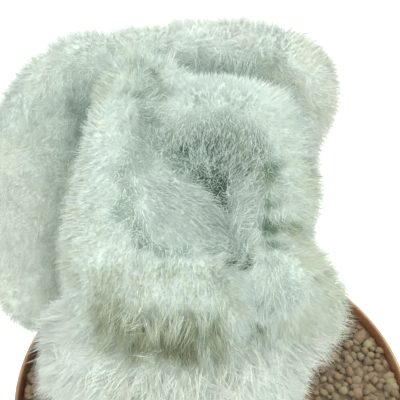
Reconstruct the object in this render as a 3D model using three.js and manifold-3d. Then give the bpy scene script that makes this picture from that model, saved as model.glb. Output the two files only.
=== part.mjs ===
// A crested old man cactus in its round plastic pot, in millimetres, +Z up.
// The origin is the middle of the pot's underside. The pot holds a bed of fine gravel,
// and the cactus stands in an oval hole in that bed on its short root neck.
import * as THREE from 'three';
import { mergeVertices } from 'three/addons/utils/BufferGeometryUtils.js';
import Module from 'manifold-3d';

const wasm = await Module();
wasm.setup();

// ---- Driving dimensions -------------------------------------------------------------
const POT_HEIGHT = 112;
const POT_RIM_RADIUS = 70;
const POT_BASE_RADIUS = 50;
const POT_WALL = 2;
const RIM_BAND = 13;          // height of the upright band under the lip
const RIM_STEP = 2.4;         // how far the band stands out from the tapered wall
const DRAIN_HOLES = 8;
const DRAIN_RADIUS = 4.5;
const DRAIN_CIRCLE = 31;      // radius of the ring of drainage holes
const GAP = 0.3;              // clearance between pieces that touch
const BED_TOP = 107.2;        // the valleys between the stones
const STONE_PITCH = 6.6;      // middle to middle of neighbouring stones
const STONE_RISE = 2.5;       // how far a stone stands above the valleys
const VALLEY_RISE = 0.5;      // unevenness of the valleys
const PEAK_WANDER = 0.9;      // how far a peak or a valley strays sideways
const VALLEY_WANDER = 0.45;
const SLAB_DEPTH = 12;        // depth of the layer that carries the stones
const NECK = { x: -10, y: 2, across: 30, deep: 21, bottom: 88, top: 122 };
const WOOL_MAT = 1.6;         // thickness of the felted wool between the skin and the locks
const TUFT_LENGTH = 7.4;
const TUFT_BASE = 1.9;        // distance from a lock's middle to its corners
const TUFT_SINK = 2.2;
const TUFT_LEAN = 0.9;        // how far a lock leans off the square, 0 for none
const TUFT_PITCH = 9.4;       // middle to middle of neighbouring locks

// The crest is one ribbon of growth that has folded on itself. Each fold is a thick fan:
// its crown runs along the growing edge, its foot runs along the base, and its radius
// rounds both. Crown points are x, y, z, and a foot point is x, y at the height where the
// fold just clears the stones. Each point has its radius.
const FOLDS = [
  { name: 'wing', stations: 24, radius: [6, 7, 8, 8, 8, 8, 8, 8, 8, 8, 8, 8, 7],
    crown: [[-67, 9, 127], [-73, 18, 143], [-75, 25, 160], [-74, 32, 176], [-69, 38, 190],
      [-60, 43, 202], [-47, 46, 210], [-32, 47, 212], [-16, 47, 215], [0, 46, 217],
      [15, 43, 216], [25, 38, 210], [28, 33, 202]],
    foot: [[-38, 8], [-39, 12], [-38, 15], [-36, 18], [-33, 21], [-29, 23], [-24, 25], [-18, 26],
      [-11, 26], [-5, 25], [-1, 23], [3, 20], [5, 16]] },
  { name: 'left_roll', stations: 18, radius: [6, 6.5, 6.5, 6.5, 6, 6, 6.5, 6.5, 6.5, 6.5],
    crown: [[-10, 17, 211], [-19, 21, 216], [-28, 20, 218], [-31, 9, 213], [-33, -1, 205],
      [-35, -10, 196], [-34, -20, 189], [-23, -27, 186], [-10, -29, 187], [5, -28, 186]],
    foot: [[-10, 11], [-18, 9], [-25, 5], [-30, 0], [-34, -5], [-34, -9], [-30, -12], [-21, -13],
      [-8, -14], [4, -14]] },
  { name: 'right_roll', stations: 14, radius: [5.5, 6.5, 7, 7, 7, 7, 7],
    crown: [[-21, 9, 209], [-14, 11, 215], [-4, 12, 217], [8, 8, 215], [12, 4, 211],
      [14, -5, 202], [17, -12, 194]],
    foot: [[-12, 8], [-7, 8], [-2, 7], [3, 4], [7, 0], [9, -5], [10, -9]] },
  { name: 'low_right', stations: 9, radius: [6.5, 7.5, 8, 7],
    crown: [[3, -23, 187], [15, -19, 187], [23, -20, 178], [26, -24, 165]],
    foot: [[6, -9], [10, -10], [12, -13], [11, -16]] },
  { name: 'tongue', stations: 8, radius: [6, 7, 5],
    crown: [[-34, -4, 198], [-20, -8, 197], [-4, -12, 195]],
    foot: [[-20, 0], [-14, -4], [-8, -6]] },
  { name: 'rib', stations: 8, radius: [4, 4.5, 4.5],
    crown: [[4, 4, 202], [5, -8, 195], [5, -18, 188]],
    foot: [[0, 2], [0, -4], [0, -10]] },
  { name: 'heart', stations: 8, radius: [8, 8, 8],
    crown: [[-24, 6, 203], [-11, 5, 198], [5, 3, 196]],
    foot: [[-20, 2], [-11, 2], [2, 0]] },
  { name: 'lap', stations: 8, radius: [6, 6, 5],
    crown: [[-30, -14, 193], [-16, -18, 191], [-1, -19, 189]],
    foot: [[-22, -6], [-12, -8], [-4, -9]] },
  { name: 'skirt', stations: 12, radius: [8, 9, 9, 9, 8],
    crown: [[-42, -12, 157], [-38, -24, 160], [-14, -31, 160], [8, -30, 158], [21, -22, 154]],
    foot: [[-38, -12], [-33, -20], [-12, -23], [6, -22], [13, -15]] },
];
const CREST_BOTTOM = BED_TOP + STONE_RISE + 0.5;
const SECTION_SIDES = 12;
const END_SHARE = 0.34;       // size of a fold's flat end, as a share of its section

// ---- Small helpers ------------------------------------------------------------------
// The same seed gives the same row of numbers between 0 and 1 on every run.
function seededRandom(seed) {
  let state = seed;
  return () => {
    state = (state * 1664525 + 1013904223) % 4294967296;
    return state / 4294967296;
  };
}

function toSolid(geometry) {
  const bare = geometry.clone();
  bare.deleteAttribute('normal');
  bare.deleteAttribute('uv');
  const merged = mergeVertices(bare, 1e-4);
  const mesh = new wasm.Mesh({
    numProp: 3,
    vertProperties: new Float32Array(merged.attributes.position.array),
    triVerts: new Uint32Array(merged.index.array),
  });
  return new wasm.Manifold(mesh);
}

function toGeometry(solid) {
  const mesh = solid.getMesh();
  const geometry = new THREE.BufferGeometry();
  geometry.setAttribute('position', new THREE.BufferAttribute(mesh.vertProperties, 3));
  geometry.setIndex(new THREE.BufferAttribute(mesh.triVerts, 1));
  geometry.computeVertexNormals();
  return geometry;
}

function geometryFrom(points, faces) {
  const geometry = new THREE.BufferGeometry();
  geometry.setAttribute('position', new THREE.Float32BufferAttribute(points.flat(), 3));
  geometry.setIndex(faces.flat());
  return geometry;
}

// A lathe turns about +Y, so its profile is stood up afterwards to turn about +Z.
function turned(profile, sides) {
  const points = profile.map(([radius, height]) => new THREE.Vector2(radius, height));
  return new THREE.LatheGeometry(points, sides).rotateX(Math.PI / 2);
}

function ovalPlug({ x, y, across, deep, bottom, top }, extra, sides) {
  const plug = new THREE.CylinderGeometry(1, 1, top - bottom, sides);
  plug.rotateX(Math.PI / 2);
  plug.scale(across + extra, deep + extra, 1);
  plug.translate(x, y, (top + bottom) / 2);
  return plug;
}

// ---- Pot: one moulding, with a tapered wall, an upright rim band and drainage holes ---
const BAND_FOOT = POT_HEIGHT - RIM_BAND;
const SHOULDER = POT_RIM_RADIUS - RIM_STEP;
const TAPER = (SHOULDER - 1 - POT_BASE_RADIUS) / BAND_FOOT;
const FLOOR = 3;

function innerRadius(z) {
  if (z <= BAND_FOOT - 1) {
    return POT_BASE_RADIUS + TAPER * z - POT_WALL;
  }
  return POT_RIM_RADIUS - POT_WALL;
}

function potSolid() {
  const profile = [
    [0, 0], [POT_BASE_RADIUS - 1, 0], [POT_BASE_RADIUS, 1],
    [SHOULDER - 1, BAND_FOOT], [POT_RIM_RADIUS - 0.6, BAND_FOOT],
    [POT_RIM_RADIUS, BAND_FOOT + 1], [POT_RIM_RADIUS, POT_HEIGHT - 0.8],
    [POT_RIM_RADIUS - 0.7, POT_HEIGHT], [POT_RIM_RADIUS - POT_WALL + 0.6, POT_HEIGHT],
    [POT_RIM_RADIUS - POT_WALL, POT_HEIGHT - 0.8],
    [POT_RIM_RADIUS - POT_WALL, BAND_FOOT + 2],
    [innerRadius(BAND_FOOT - 1), BAND_FOOT - 1],
    [innerRadius(FLOOR), FLOOR], [0, FLOOR],
  ];
  let pot = toSolid(turned(profile, 64));
  for (let i = 0; i < DRAIN_HOLES; i += 1) {
    const angle = (i + 0.5) * 2 * Math.PI / DRAIN_HOLES;
    const drill = new THREE.CylinderGeometry(DRAIN_RADIUS, DRAIN_RADIUS, 4 * FLOOR, 14);
    drill.rotateX(Math.PI / 2);
    drill.translate(DRAIN_CIRCLE * Math.cos(angle), DRAIN_CIRCLE * Math.sin(angle), FLOOR / 2);
    pot = pot.subtract(toSolid(drill));
  }
  return pot;
}

// ---- Bed: gravel that fills the pot, with its top raised into stones -----------------
// The top is a lattice of triangles. Every third point is a stone's peak and the points
// between are valleys. The slab is then cut round by the inside of the pot.
function stoneSlab(random) {
  const step = STONE_PITCH / Math.sqrt(3);
  const rowStep = step * Math.sqrt(3) / 2;
  const rows = 2 * Math.ceil((POT_RIM_RADIUS + 4) / rowStep) + 1;
  const columns = 2 * Math.ceil((POT_RIM_RADIUS + 6) / step) + 1;
  const points = [];
  for (let row = 0; row < rows; row += 1) {
    const shift = row % 2 ? 0.5 : 0;
    for (let column = 0; column < columns; column += 1) {
      const along = column - Math.floor(row / 2);
      const peak = ((along - row) % 3 + 3) % 3 === 0;
      const wander = peak ? PEAK_WANDER : VALLEY_WANDER;
      const x = (column + shift - (columns - 1) / 2) * step + wander * (random() - 0.5);
      const y = (row - (rows - 1) / 2) * rowStep + wander * (random() - 0.5);
      const rise = peak ? STONE_RISE * (0.65 + 0.35 * random()) : VALLEY_RISE * random();
      points.push([x, y, BED_TOP + rise]);
    }
  }
  const topCount = points.length;
  for (let i = 0; i < topCount; i += 1) {
    points.push([points[i][0], points[i][1], BED_TOP - SLAB_DEPTH]);
  }
  const faces = [];
  for (let row = 0; row < rows - 1; row += 1) {
    for (let column = 0; column < columns - 1; column += 1) {
      const a = row * columns + column;
      const b = a + 1;
      const c = a + columns;
      const d = c + 1;
      const pair = row % 2 ? [[a, b, d], [a, d, c]] : [[a, b, c], [b, d, c]];
      for (const [p, q, r] of pair) {
        faces.push([p, q, r], [topCount + p, topCount + r, topCount + q]);
      }
    }
  }
  const rim = [];
  for (let column = 0; column < columns - 1; column += 1) {
    rim.push(column);
  }
  for (let row = 0; row < rows - 1; row += 1) {
    rim.push(row * columns + columns - 1);
  }
  for (let column = columns - 1; column > 0; column -= 1) {
    rim.push((rows - 1) * columns + column);
  }
  for (let row = rows - 1; row > 0; row -= 1) {
    rim.push(row * columns);
  }
  rim.forEach((point, i) => {
    const next = rim[(i + 1) % rim.length];
    faces.push([point, topCount + point, next], [next, topCount + point, topCount + next]);
  });
  return toSolid(geometryFrom(points, faces));
}

function bedSolid() {
  const filling = toSolid(turned([
    [0, FLOOR + GAP], [innerRadius(FLOOR) - GAP, FLOOR + GAP],
    [innerRadius(BAND_FOOT - 1) - GAP, BAND_FOOT - 1 + GAP],
    [innerRadius(BAND_FOOT) - GAP, BAND_FOOT + 2 + GAP],
    [innerRadius(BAND_FOOT) - GAP, POT_HEIGHT], [0, POT_HEIGHT],
  ], 64));
  const block = BED_TOP - SLAB_DEPTH + 1;
  const lower = toSolid(new THREE.BoxGeometry(3 * POT_RIM_RADIUS, 3 * POT_RIM_RADIUS, block)
    .translate(0, 0, block / 2));
  const slab = stoneSlab(seededRandom(77)).add(lower);
  const hole = { ...NECK, bottom: NECK.bottom - GAP };
  return filling.intersect(slab).subtract(toSolid(ovalPlug(hole, GAP, 24)));
}

// ---- Cactus: the folded crest with its locks of wool, one piece down to the root neck --
function alongFold(fold) {
  const crown = new THREE.CatmullRomCurve3(
    fold.crown.map((p) => new THREE.Vector3(...p)), false, 'catmullrom', 0.5);
  const foot = new THREE.CatmullRomCurve3(
    fold.foot.map(([x, y], i) => new THREE.Vector3(x, y, CREST_BOTTOM + WOOL_MAT + fold.radius[i])),
    false, 'catmullrom', 0.5);
  const radiusAt = (t) => {
    const place = t * (fold.radius.length - 1);
    const low = Math.min(Math.floor(place), fold.radius.length - 2);
    return WOOL_MAT + THREE.MathUtils.lerp(fold.radius[low], fold.radius[low + 1], place - low);
  };
  const at = (t) => {
    const top = crown.getPoint(t);
    const bottom = foot.getPoint(t);
    const up = top.clone().sub(bottom).normalize();
    const side = crown.getTangent(t).cross(up).normalize();
    return { top, bottom, up, side, radius: radiusAt(t) };
  };
  const reach = crown.getLength();
  const footReach = foot.getLength();
  // The ends are rounded: within one radius of an end the section shrinks as a circle does.
  const shareAt = (t) => {
    const fromEnd = Math.min(t, 1 - t) * reach / radiusAt(t);
    const inside = Math.max(0, 1 - fromEnd);
    return Math.max(END_SHARE, Math.sqrt(1 - inside * inside));
  };
  return { at, shareAt, reach, footReach };
}

// A point on the fold's skin: angle 0 is the top of the crown, a half turn is the foot.
function skinPoint(path, t, angle) {
  const { top, bottom, up, side, radius } = path.at(t);
  const centre = Math.cos(angle) > 0 ? top : bottom;
  const size = radius * path.shareAt(t);
  return centre.clone()
    .addScaledVector(up, size * Math.cos(angle))
    .addScaledVector(side, size * Math.sin(angle));
}

function foldSolid(fold) {
  const path = alongFold(fold);
  const points = [];
  const faces = [];
  for (let i = 0; i <= fold.stations; i += 1) {
    const even = i / fold.stations;
    const t = (even + (1 - Math.cos(Math.PI * even)) / 2) / 2;
    for (let j = 0; j < SECTION_SIDES; j += 1) {
      points.push(skinPoint(path, t, (j + 0.5) * 2 * Math.PI / SECTION_SIDES).toArray());
    }
  }
  for (let i = 0; i < fold.stations; i += 1) {
    for (let j = 0; j < SECTION_SIDES; j += 1) {
      const a = i * SECTION_SIDES + j;
      const b = i * SECTION_SIDES + (j + 1) % SECTION_SIDES;
      const c = a + SECTION_SIDES;
      const d = b + SECTION_SIDES;
      faces.push([a, c, b], [b, c, d]);
    }
  }
  const last = fold.stations * SECTION_SIDES;
  for (let j = 1; j < SECTION_SIDES - 1; j += 1) {
    faces.push([0, j, j + 1], [last, last + j + 1, last + j]);
  }
  const solid = toSolid(geometryFrom(points, faces));
  if (solid.volume() > 0) {
    return solid;
  }
  return toSolid(geometryFrom(points, faces.map(([a, b, c]) => [a, c, b])));
}

// A lock of wool: a slim three-sided spike whose root is sunk in the skin.
function tuftSolid(root, direction, length, turn) {
  const upright = Math.abs(direction.z) > 0.9;
  const helper = upright ? new THREE.Vector3(1, 0, 0) : new THREE.Vector3(0, 0, 1);
  const across = helper.cross(direction).normalize();
  const over = direction.clone().cross(across);
  const base = root.clone().addScaledVector(direction, -TUFT_SINK);
  const points = [root.clone().addScaledVector(direction, length).toArray()];
  for (let k = 0; k < 3; k += 1) {
    const angle = turn + k * 2 * Math.PI / 3;
    points.push(base.clone()
      .addScaledVector(across, TUFT_BASE * Math.cos(angle))
      .addScaledVector(over, TUFT_BASE * Math.sin(angle)).toArray());
  }
  return toSolid(geometryFrom(points, [[0, 1, 2], [0, 2, 3], [0, 3, 1], [1, 3, 2]]));
}

// True where a point lies inside another fold, or so near that a lock would be lost.
const BURIED_SAMPLES = 40;
const BURIED_MARGIN = 0.4;
function makeBuriedTest(paths) {
  const samples = paths.map((path) => {
    const list = [];
    for (let i = 0; i <= BURIED_SAMPLES; i += 1) {
      const t = i / BURIED_SAMPLES;
      const { top, bottom, radius } = path.at(t);
      list.push({ line: new THREE.Line3(bottom, top), size: radius * path.shareAt(t) });
    }
    return list;
  });
  const nearest = new THREE.Vector3();
  return (point, own) => samples.some((list, k) => k !== own && list.some(({ line, size }) => {
    line.closestPointToPoint(point, true, nearest);
    return nearest.distanceTo(point) < size + BURIED_MARGIN;
  }));
}

// Locks stand in staggered rows over every fold, closer together towards the foot as the
// rows converge there, so some are left out to keep the same spacing everywhere.
function tufts(paths, random) {
  const buried = makeBuriedTest(paths);
  const list = [];
  paths.forEach((path, own) => {
    const columns = Math.max(3, Math.round(path.reach / TUFT_PITCH));
    for (let i = 0; i <= columns; i += 1) {
      const t = THREE.MathUtils.clamp((i + 0.3 * (random() - 0.5)) / columns, 0, 1);
      const { top, bottom, up, side, radius } = path.at(t);
      const height = top.distanceTo(bottom);
      const rows = Math.round(height / TUFT_PITCH);
      const spots = [[0, 0]];
      for (const face of [-1, 1]) {
        spots.push([face * Math.PI / 4, 0]);
        for (let row = 0; row < rows; row += 1) {
          spots.push([face * Math.PI / 2, (row + 0.5 + 0.5 * (i % 2)) / rows]);
        }
      }
      // Drop is the way down from crown to foot, from 0 to 1.
      for (const [angle, drop] of spots) {
        const share = THREE.MathUtils.lerp(1, path.footReach / path.reach, drop);
        const keep = random() < share;
        const size = radius * path.shareAt(t);
        const outward = up.clone().multiplyScalar(Math.cos(angle))
          .addScaledVector(side, Math.sin(angle));
        const root = top.clone().lerp(bottom, drop).addScaledVector(outward, size);
        const lean = new THREE.Vector3(random() - 0.5, random() - 0.5, random() - 0.6);
        const direction = outward.clone().addScaledVector(lean, TUFT_LEAN).normalize();
        const length = TUFT_LENGTH * (0.8 + 0.35 * random());
        const turn = 2 * Math.PI * random();
        const tip = root.clone().addScaledVector(direction, length);
        if (keep && tip.z > POT_HEIGHT - 1 && !buried(root, own) && !buried(tip, own)) {
          list.push(tuftSolid(root, direction, length, turn));
        }
      }
    }
  });
  return list;
}

function cactusSolid() {
  const paths = FOLDS.map(alongFold);
  const locks = tufts(paths, seededRandom(4021));
  const neck = toSolid(ovalPlug(NECK, 0, 24));
  const joined = wasm.Manifold.union([...FOLDS.map(foldSolid), neck, ...locks]);
  // Small hollows that the folds shut in are filled, by keeping the outer skin alone.
  const skins = joined.decompose();
  skins.sort((a, b) => b.volume() - a.volume());
  return skins[0];
}

// ---- The scene graph ------------------------------------------------------------------
const terracotta = new THREE.MeshStandardMaterial({ color: 0xa06a45, roughness: 0.45, metalness: 0 });
const gravel = new THREE.MeshStandardMaterial({ color: 0x86684f, roughness: 0.9, metalness: 0 });
const wool = new THREE.MeshStandardMaterial({ color: 0xdbe4dc, roughness: 0.85, metalness: 0 });

const plant = new THREE.Group();

function addPiece(name, solid, material) {
  const mesh = new THREE.Mesh(toGeometry(solid), material);
  mesh.name = name;
  plant.add(mesh);
}

addPiece('pot', potSolid(), terracotta);
addPiece('substrate', bedSolid(), gravel);
addPiece('cactus', cactusSolid(), wool);

export default plant;
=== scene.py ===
"""Crested old man cactus in its round plastic pot: the finished looks, in metres, +Z up."""
import math

import bpy
import numpy as np
from mathutils import Matrix, Vector


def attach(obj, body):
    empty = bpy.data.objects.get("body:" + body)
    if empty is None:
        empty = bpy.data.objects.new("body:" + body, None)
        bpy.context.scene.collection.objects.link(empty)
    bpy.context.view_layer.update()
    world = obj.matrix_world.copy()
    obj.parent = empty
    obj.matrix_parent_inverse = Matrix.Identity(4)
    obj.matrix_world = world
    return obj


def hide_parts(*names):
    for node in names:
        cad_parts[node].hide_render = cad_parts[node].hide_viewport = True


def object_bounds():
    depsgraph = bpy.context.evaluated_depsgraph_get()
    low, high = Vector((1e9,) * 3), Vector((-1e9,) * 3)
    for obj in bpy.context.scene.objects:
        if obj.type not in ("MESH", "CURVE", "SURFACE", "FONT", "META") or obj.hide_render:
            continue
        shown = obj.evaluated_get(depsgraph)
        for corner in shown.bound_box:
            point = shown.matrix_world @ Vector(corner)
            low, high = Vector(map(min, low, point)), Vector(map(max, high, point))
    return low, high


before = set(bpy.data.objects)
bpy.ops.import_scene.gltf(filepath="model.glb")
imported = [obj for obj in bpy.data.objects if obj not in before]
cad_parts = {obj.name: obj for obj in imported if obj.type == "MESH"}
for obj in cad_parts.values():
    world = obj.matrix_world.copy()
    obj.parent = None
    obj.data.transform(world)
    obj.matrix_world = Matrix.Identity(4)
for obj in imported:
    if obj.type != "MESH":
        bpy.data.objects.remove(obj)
cad_low, cad_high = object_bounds()

# ---- Stage -----------------------------------------------------------------------------
# A plain white studio: a camera close above the plant and looking down on it, a white
# floor that runs far past the pot, and soft light from all round.

MM = 0.001
CAMERA_PLACE = (-8.5 * MM, -142.4 * MM, 310.2 * MM)
CAMERA_DOWN = math.radians(39)
CAMERA_ROLL = math.radians(3)
CAMERA_ANGLE = math.radians(34)
SENSOR_WIDTH = 36
NEAR_CUT = 5 * MM
LIGHT_AIM = (0, 0, 170 * MM)
FLOOR_HALF = 3.0
FLOOR_WHITE = (0.93, 0.94, 0.93, 1)
ROOM_WHITE = (0.985, 1.0, 0.975, 1)
ROOM_STRENGTH = 1.17


def make_camera():
    """Looks along +Y, tilted down by CAMERA_DOWN and rolled about its own line of sight."""
    down, roll = CAMERA_DOWN, CAMERA_ROLL
    right = np.array([1.0, 0.0, 0.0])
    sight = np.array([0.0, math.cos(down), -math.sin(down)])
    up = np.cross(right, sight)
    turned_right = right * math.cos(roll) + up * math.sin(roll)
    turned_up = up * math.cos(roll) - right * math.sin(roll)
    data = bpy.data.cameras.new("camera")
    data.sensor_width = SENSOR_WIDTH
    data.lens = SENSOR_WIDTH / 2 / math.tan(CAMERA_ANGLE / 2)
    data.clip_start = NEAR_CUT
    camera = bpy.data.objects.new("camera", data)
    columns = np.array([turned_right, turned_up, -sight, CAMERA_PLACE]).T
    camera.matrix_world = Matrix(np.vstack([columns, [0, 0, 0, 1]]).tolist())
    bpy.context.scene.collection.objects.link(camera)
    bpy.context.scene.camera = camera


def soft_light(name, place, size, watts, colour):
    """A square area light at place, in metres, turned to face the middle of the crest."""
    data = bpy.data.lights.new(name, "AREA")
    data.size = size
    data.energy = watts
    data.color = colour
    lamp = bpy.data.objects.new(name, data)
    sight = Vector(LIGHT_AIM) - Vector(place)
    lamp.rotation_euler = sight.to_track_quat("-Z", "Y").to_euler()
    lamp.location = place
    bpy.context.scene.collection.objects.link(lamp)


def put_mesh(name, points, faces, smooth=True):
    """A new mesh object at the origin from an (n, 3) array in metres and an (m, k) array."""
    mesh = bpy.data.meshes.new(name)
    points = np.asarray(points, np.float32)
    faces = np.asarray(faces, np.int32)
    corners = faces.shape[1]
    mesh.vertices.add(len(points))
    mesh.vertices.foreach_set("co", points.ravel())
    mesh.loops.add(faces.size)
    mesh.loops.foreach_set("vertex_index", faces.ravel())
    mesh.polygons.add(len(faces))
    mesh.polygons.foreach_set("loop_start", np.arange(0, faces.size, corners, dtype=np.int32))
    mesh.update(calc_edges=True)
    mesh.validate()
    mesh.polygons.foreach_set("use_smooth", np.full(len(faces), smooth))
    made = bpy.data.objects.new(name, mesh)
    bpy.context.scene.collection.objects.link(made)
    return made


class Graph:
    """Short names for the nodes of one material or one node group."""

    def __init__(self, tree):
        self.tree = tree

    def add(self, kind, **settings):
        node = self.tree.nodes.new(kind)
        for key, value in settings.items():
            setattr(node, key, value)
        return node

    def feed(self, target, value):
        """Sets a socket to a number or a colour, or links another node's output to it."""
        if isinstance(value, (float, int)):
            target.default_value = value
        elif isinstance(value, tuple):
            target.default_value = (*value, 1.0)
        else:
            self.tree.links.new(value, target)

    def fed(self, kind, inputs, **settings):
        """A new node with its named inputs fed."""
        node = self.add(kind, **settings)
        for name, value in inputs.items():
            self.feed(node.inputs[name], value)
        return node

    def noise(self, scale, detail, vector, roughness=0.5):
        """Cloudy values round 0.5."""
        inputs = {"Scale": scale, "Detail": detail, "Roughness": roughness, "Vector": vector}
        return self.fed("ShaderNodeTexNoise", inputs).outputs["Fac"]

    def ramp(self, source, stops):
        """Stops are (place, (r, g, b)); the ramp's colour comes back."""
        node = self.fed("ShaderNodeValToRGB", {"Fac": source})
        elements = node.color_ramp.elements
        while len(elements) < len(stops):
            elements.new(0.5)
        for element, (place, colour) in zip(elements, stops):
            element.position = place
            element.color = (*colour, 1.0)
        return node.outputs["Color"]

    def spread(self, value, low, high, to_low=0.0, to_high=1.0):
        """Carries the values from low to high onto to_low to to_high, cut off at the ends."""
        inputs = {"Value": value, "From Min": low, "From Max": high, "To Min": to_low, "To Max": to_high}
        return self.fed("ShaderNodeMapRange", inputs).outputs["Result"]

    def mix(self, kind, factor, first, second):
        """Mixes two colours; factor is a number or a socket."""
        node = self.add("ShaderNodeMix", data_type="RGBA", blend_type=kind)
        for place, value in ((0, factor), (6, first), (7, second)):
            self.feed(node.inputs[place], value)
        return node.outputs[2]

    def math(self, kind, first, second):
        node = self.add("ShaderNodeMath", operation=kind)
        for target, value in zip(node.inputs, (first, second)):
            self.feed(target, value)
        return node.outputs[0]

    def bump(self, height, strength, distance):
        """A normal that tilts as a relief of that height and depth would."""
        inputs = {"Height": height, "Strength": strength, "Distance": distance}
        return self.fed("ShaderNodeBump", inputs).outputs["Normal"]


def new_material(name, roughness):
    """A material with an empty Principled shader: its graph and its shader node."""
    material = bpy.data.materials.new(name)
    material.use_nodes = True
    shader = material.node_tree.nodes["Principled BSDF"]
    shader.inputs["Roughness"].default_value = roughness
    return material, Graph(material.node_tree), shader


def make_stage():
    make_camera()
    corners = np.array([(-1, -1, 0), (1, -1, 0), (1, 1, 0), (-1, 1, 0)]) * FLOOR_HALF
    floor = put_mesh("floor", corners, [(0, 1, 2, 3)], smooth=False)
    material, _, shader = new_material("white_floor", 0.9)
    shader.inputs["Base Color"].default_value = FLOOR_WHITE
    shader.inputs["Specular IOR Level"].default_value = 0.1
    floor.data.materials.append(material)
    soft_light("sky_panel", (0.25, 0.35, 1.1), 1.1, 5.5, (1.0, 0.99, 0.97))
    soft_light("front_panel", (0.0, -0.9, 0.9), 1.0, 4.0, (0.97, 0.99, 1.0))
    world = bpy.data.worlds.new("white_room")
    world.use_nodes = True
    world.node_tree.nodes["Background"].inputs["Color"].default_value = ROOM_WHITE
    world.node_tree.nodes["Background"].inputs["Strength"].default_value = ROOM_STRENGTH
    bpy.context.scene.world = world
    bpy.context.scene.view_settings.view_transform = "Standard"


make_stage()

# ---- Pot -------------------------------------------------------------------------------
# One thin moulding in terracotta-brown plastic: a tapered wall, an upright band under a
# slim lip, and a flat floor with a ring of round drainage holes. The plant stands in it loose.

POT_HEIGHT = 112 * MM
POT_RIM = 70 * MM
POT_BASE = 50 * MM
POT_WALL = 2 * MM
LIP_WALL = 1.2 * MM
BAND_HEIGHT = 13 * MM
BAND_STEP = 2.4 * MM
FLOOR_THICK = 3 * MM
DRAIN_HOLES = 8
DRAIN_RADIUS = 4.5 * MM
DRAIN_CIRCLE = 31 * MM
DRAIN_ZONE = 12 * MM
BAND_FOOT = POT_HEIGHT - BAND_HEIGHT
SHOULDER = POT_RIM - BAND_STEP - 1 * MM
POT_AROUND = 256
LIME_DEPTH = 2 * MM
BORDER_STEPS = 9
SHEET_RINGS = 5
DISC_POLE = 0.4 * MM
WELD_REACH = 0.1 * MM


def inner_radius(height):
    """Radius of the inside of the tapered wall at a height under the band."""
    return POT_BASE + (SHOULDER - POT_BASE) * height / BAND_FOOT - POT_WALL


def rounded(corners, steps=5):
    """A profile whose corners are rounded. Each corner is (radius, height, rounding): an arc
    of steps points, a quadratic curve from one side to the other, stands in for it."""
    corners = np.array(corners, float)
    out = []
    for before, here, after in zip(corners[:-2], corners[1:-1], corners[2:]):
        reach = here[2]
        back = (before - here)[:2]
        on = (after - here)[:2]
        start = here[:2] + back / np.linalg.norm(back) * min(reach, np.linalg.norm(back) / 2)
        end = here[:2] + on / np.linalg.norm(on) * min(reach, np.linalg.norm(on) / 2)
        along = np.linspace(0, 1, steps)[:, None]
        out.append((1 - along) ** 2 * start + 2 * along * (1 - along) * here[:2] + along ** 2 * end)
    return np.vstack([corners[:1, :2], *out, corners[-1:, :2]])


def turn_profile(profile, around):
    """Carries an (n, 2) profile of radius and height once round +Z: an (n, around, 3) grid."""
    angle = np.arange(around) * 2 * np.pi / around
    radius = profile[:, 0, None]
    height = np.repeat(profile[:, 1, None], around, 1)
    return np.stack([radius * np.cos(angle), radius * np.sin(angle), height], -1)


def grid_faces(rows, columns, closed):
    """Quads of a rows by columns grid whose columns may close on themselves."""
    row = np.arange(rows - 1)[:, None]
    column = np.arange(columns if closed else columns - 1)[None, :]
    right = (column + 1) % columns
    quads = [row * columns + column, row * columns + right,
             (row + 1) * columns + right, (row + 1) * columns + column]
    return np.stack(np.broadcast_arrays(*quads), -1).reshape(-1, 4)


def pot_wall():
    """The turned part: from the floor's edge outside, up and over the lip, and down inside."""
    edge = DRAIN_CIRCLE + DRAIN_ZONE
    profile = rounded([
        (edge, 0, 0), (POT_BASE, 0, 1.2 * MM), (SHOULDER, BAND_FOOT, 0.4 * MM),
        (POT_RIM, BAND_FOOT, 0.9 * MM), (POT_RIM, POT_HEIGHT, 0.5 * MM),
        (POT_RIM - LIP_WALL, POT_HEIGHT, 0.5 * MM),
        (POT_RIM - POT_WALL, BAND_FOOT + 2 * MM, 1 * MM),
        (inner_radius(BAND_FOOT - 1 * MM), BAND_FOOT - 1 * MM, 1 * MM),
        (inner_radius(FLOOR_THICK), FLOOR_THICK, 1 * MM), (edge, FLOOR_THICK, 0)])
    grid = turn_profile(profile, POT_AROUND)
    return grid.reshape(-1, 3), grid_faces(len(profile), POT_AROUND, True), edge


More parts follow.
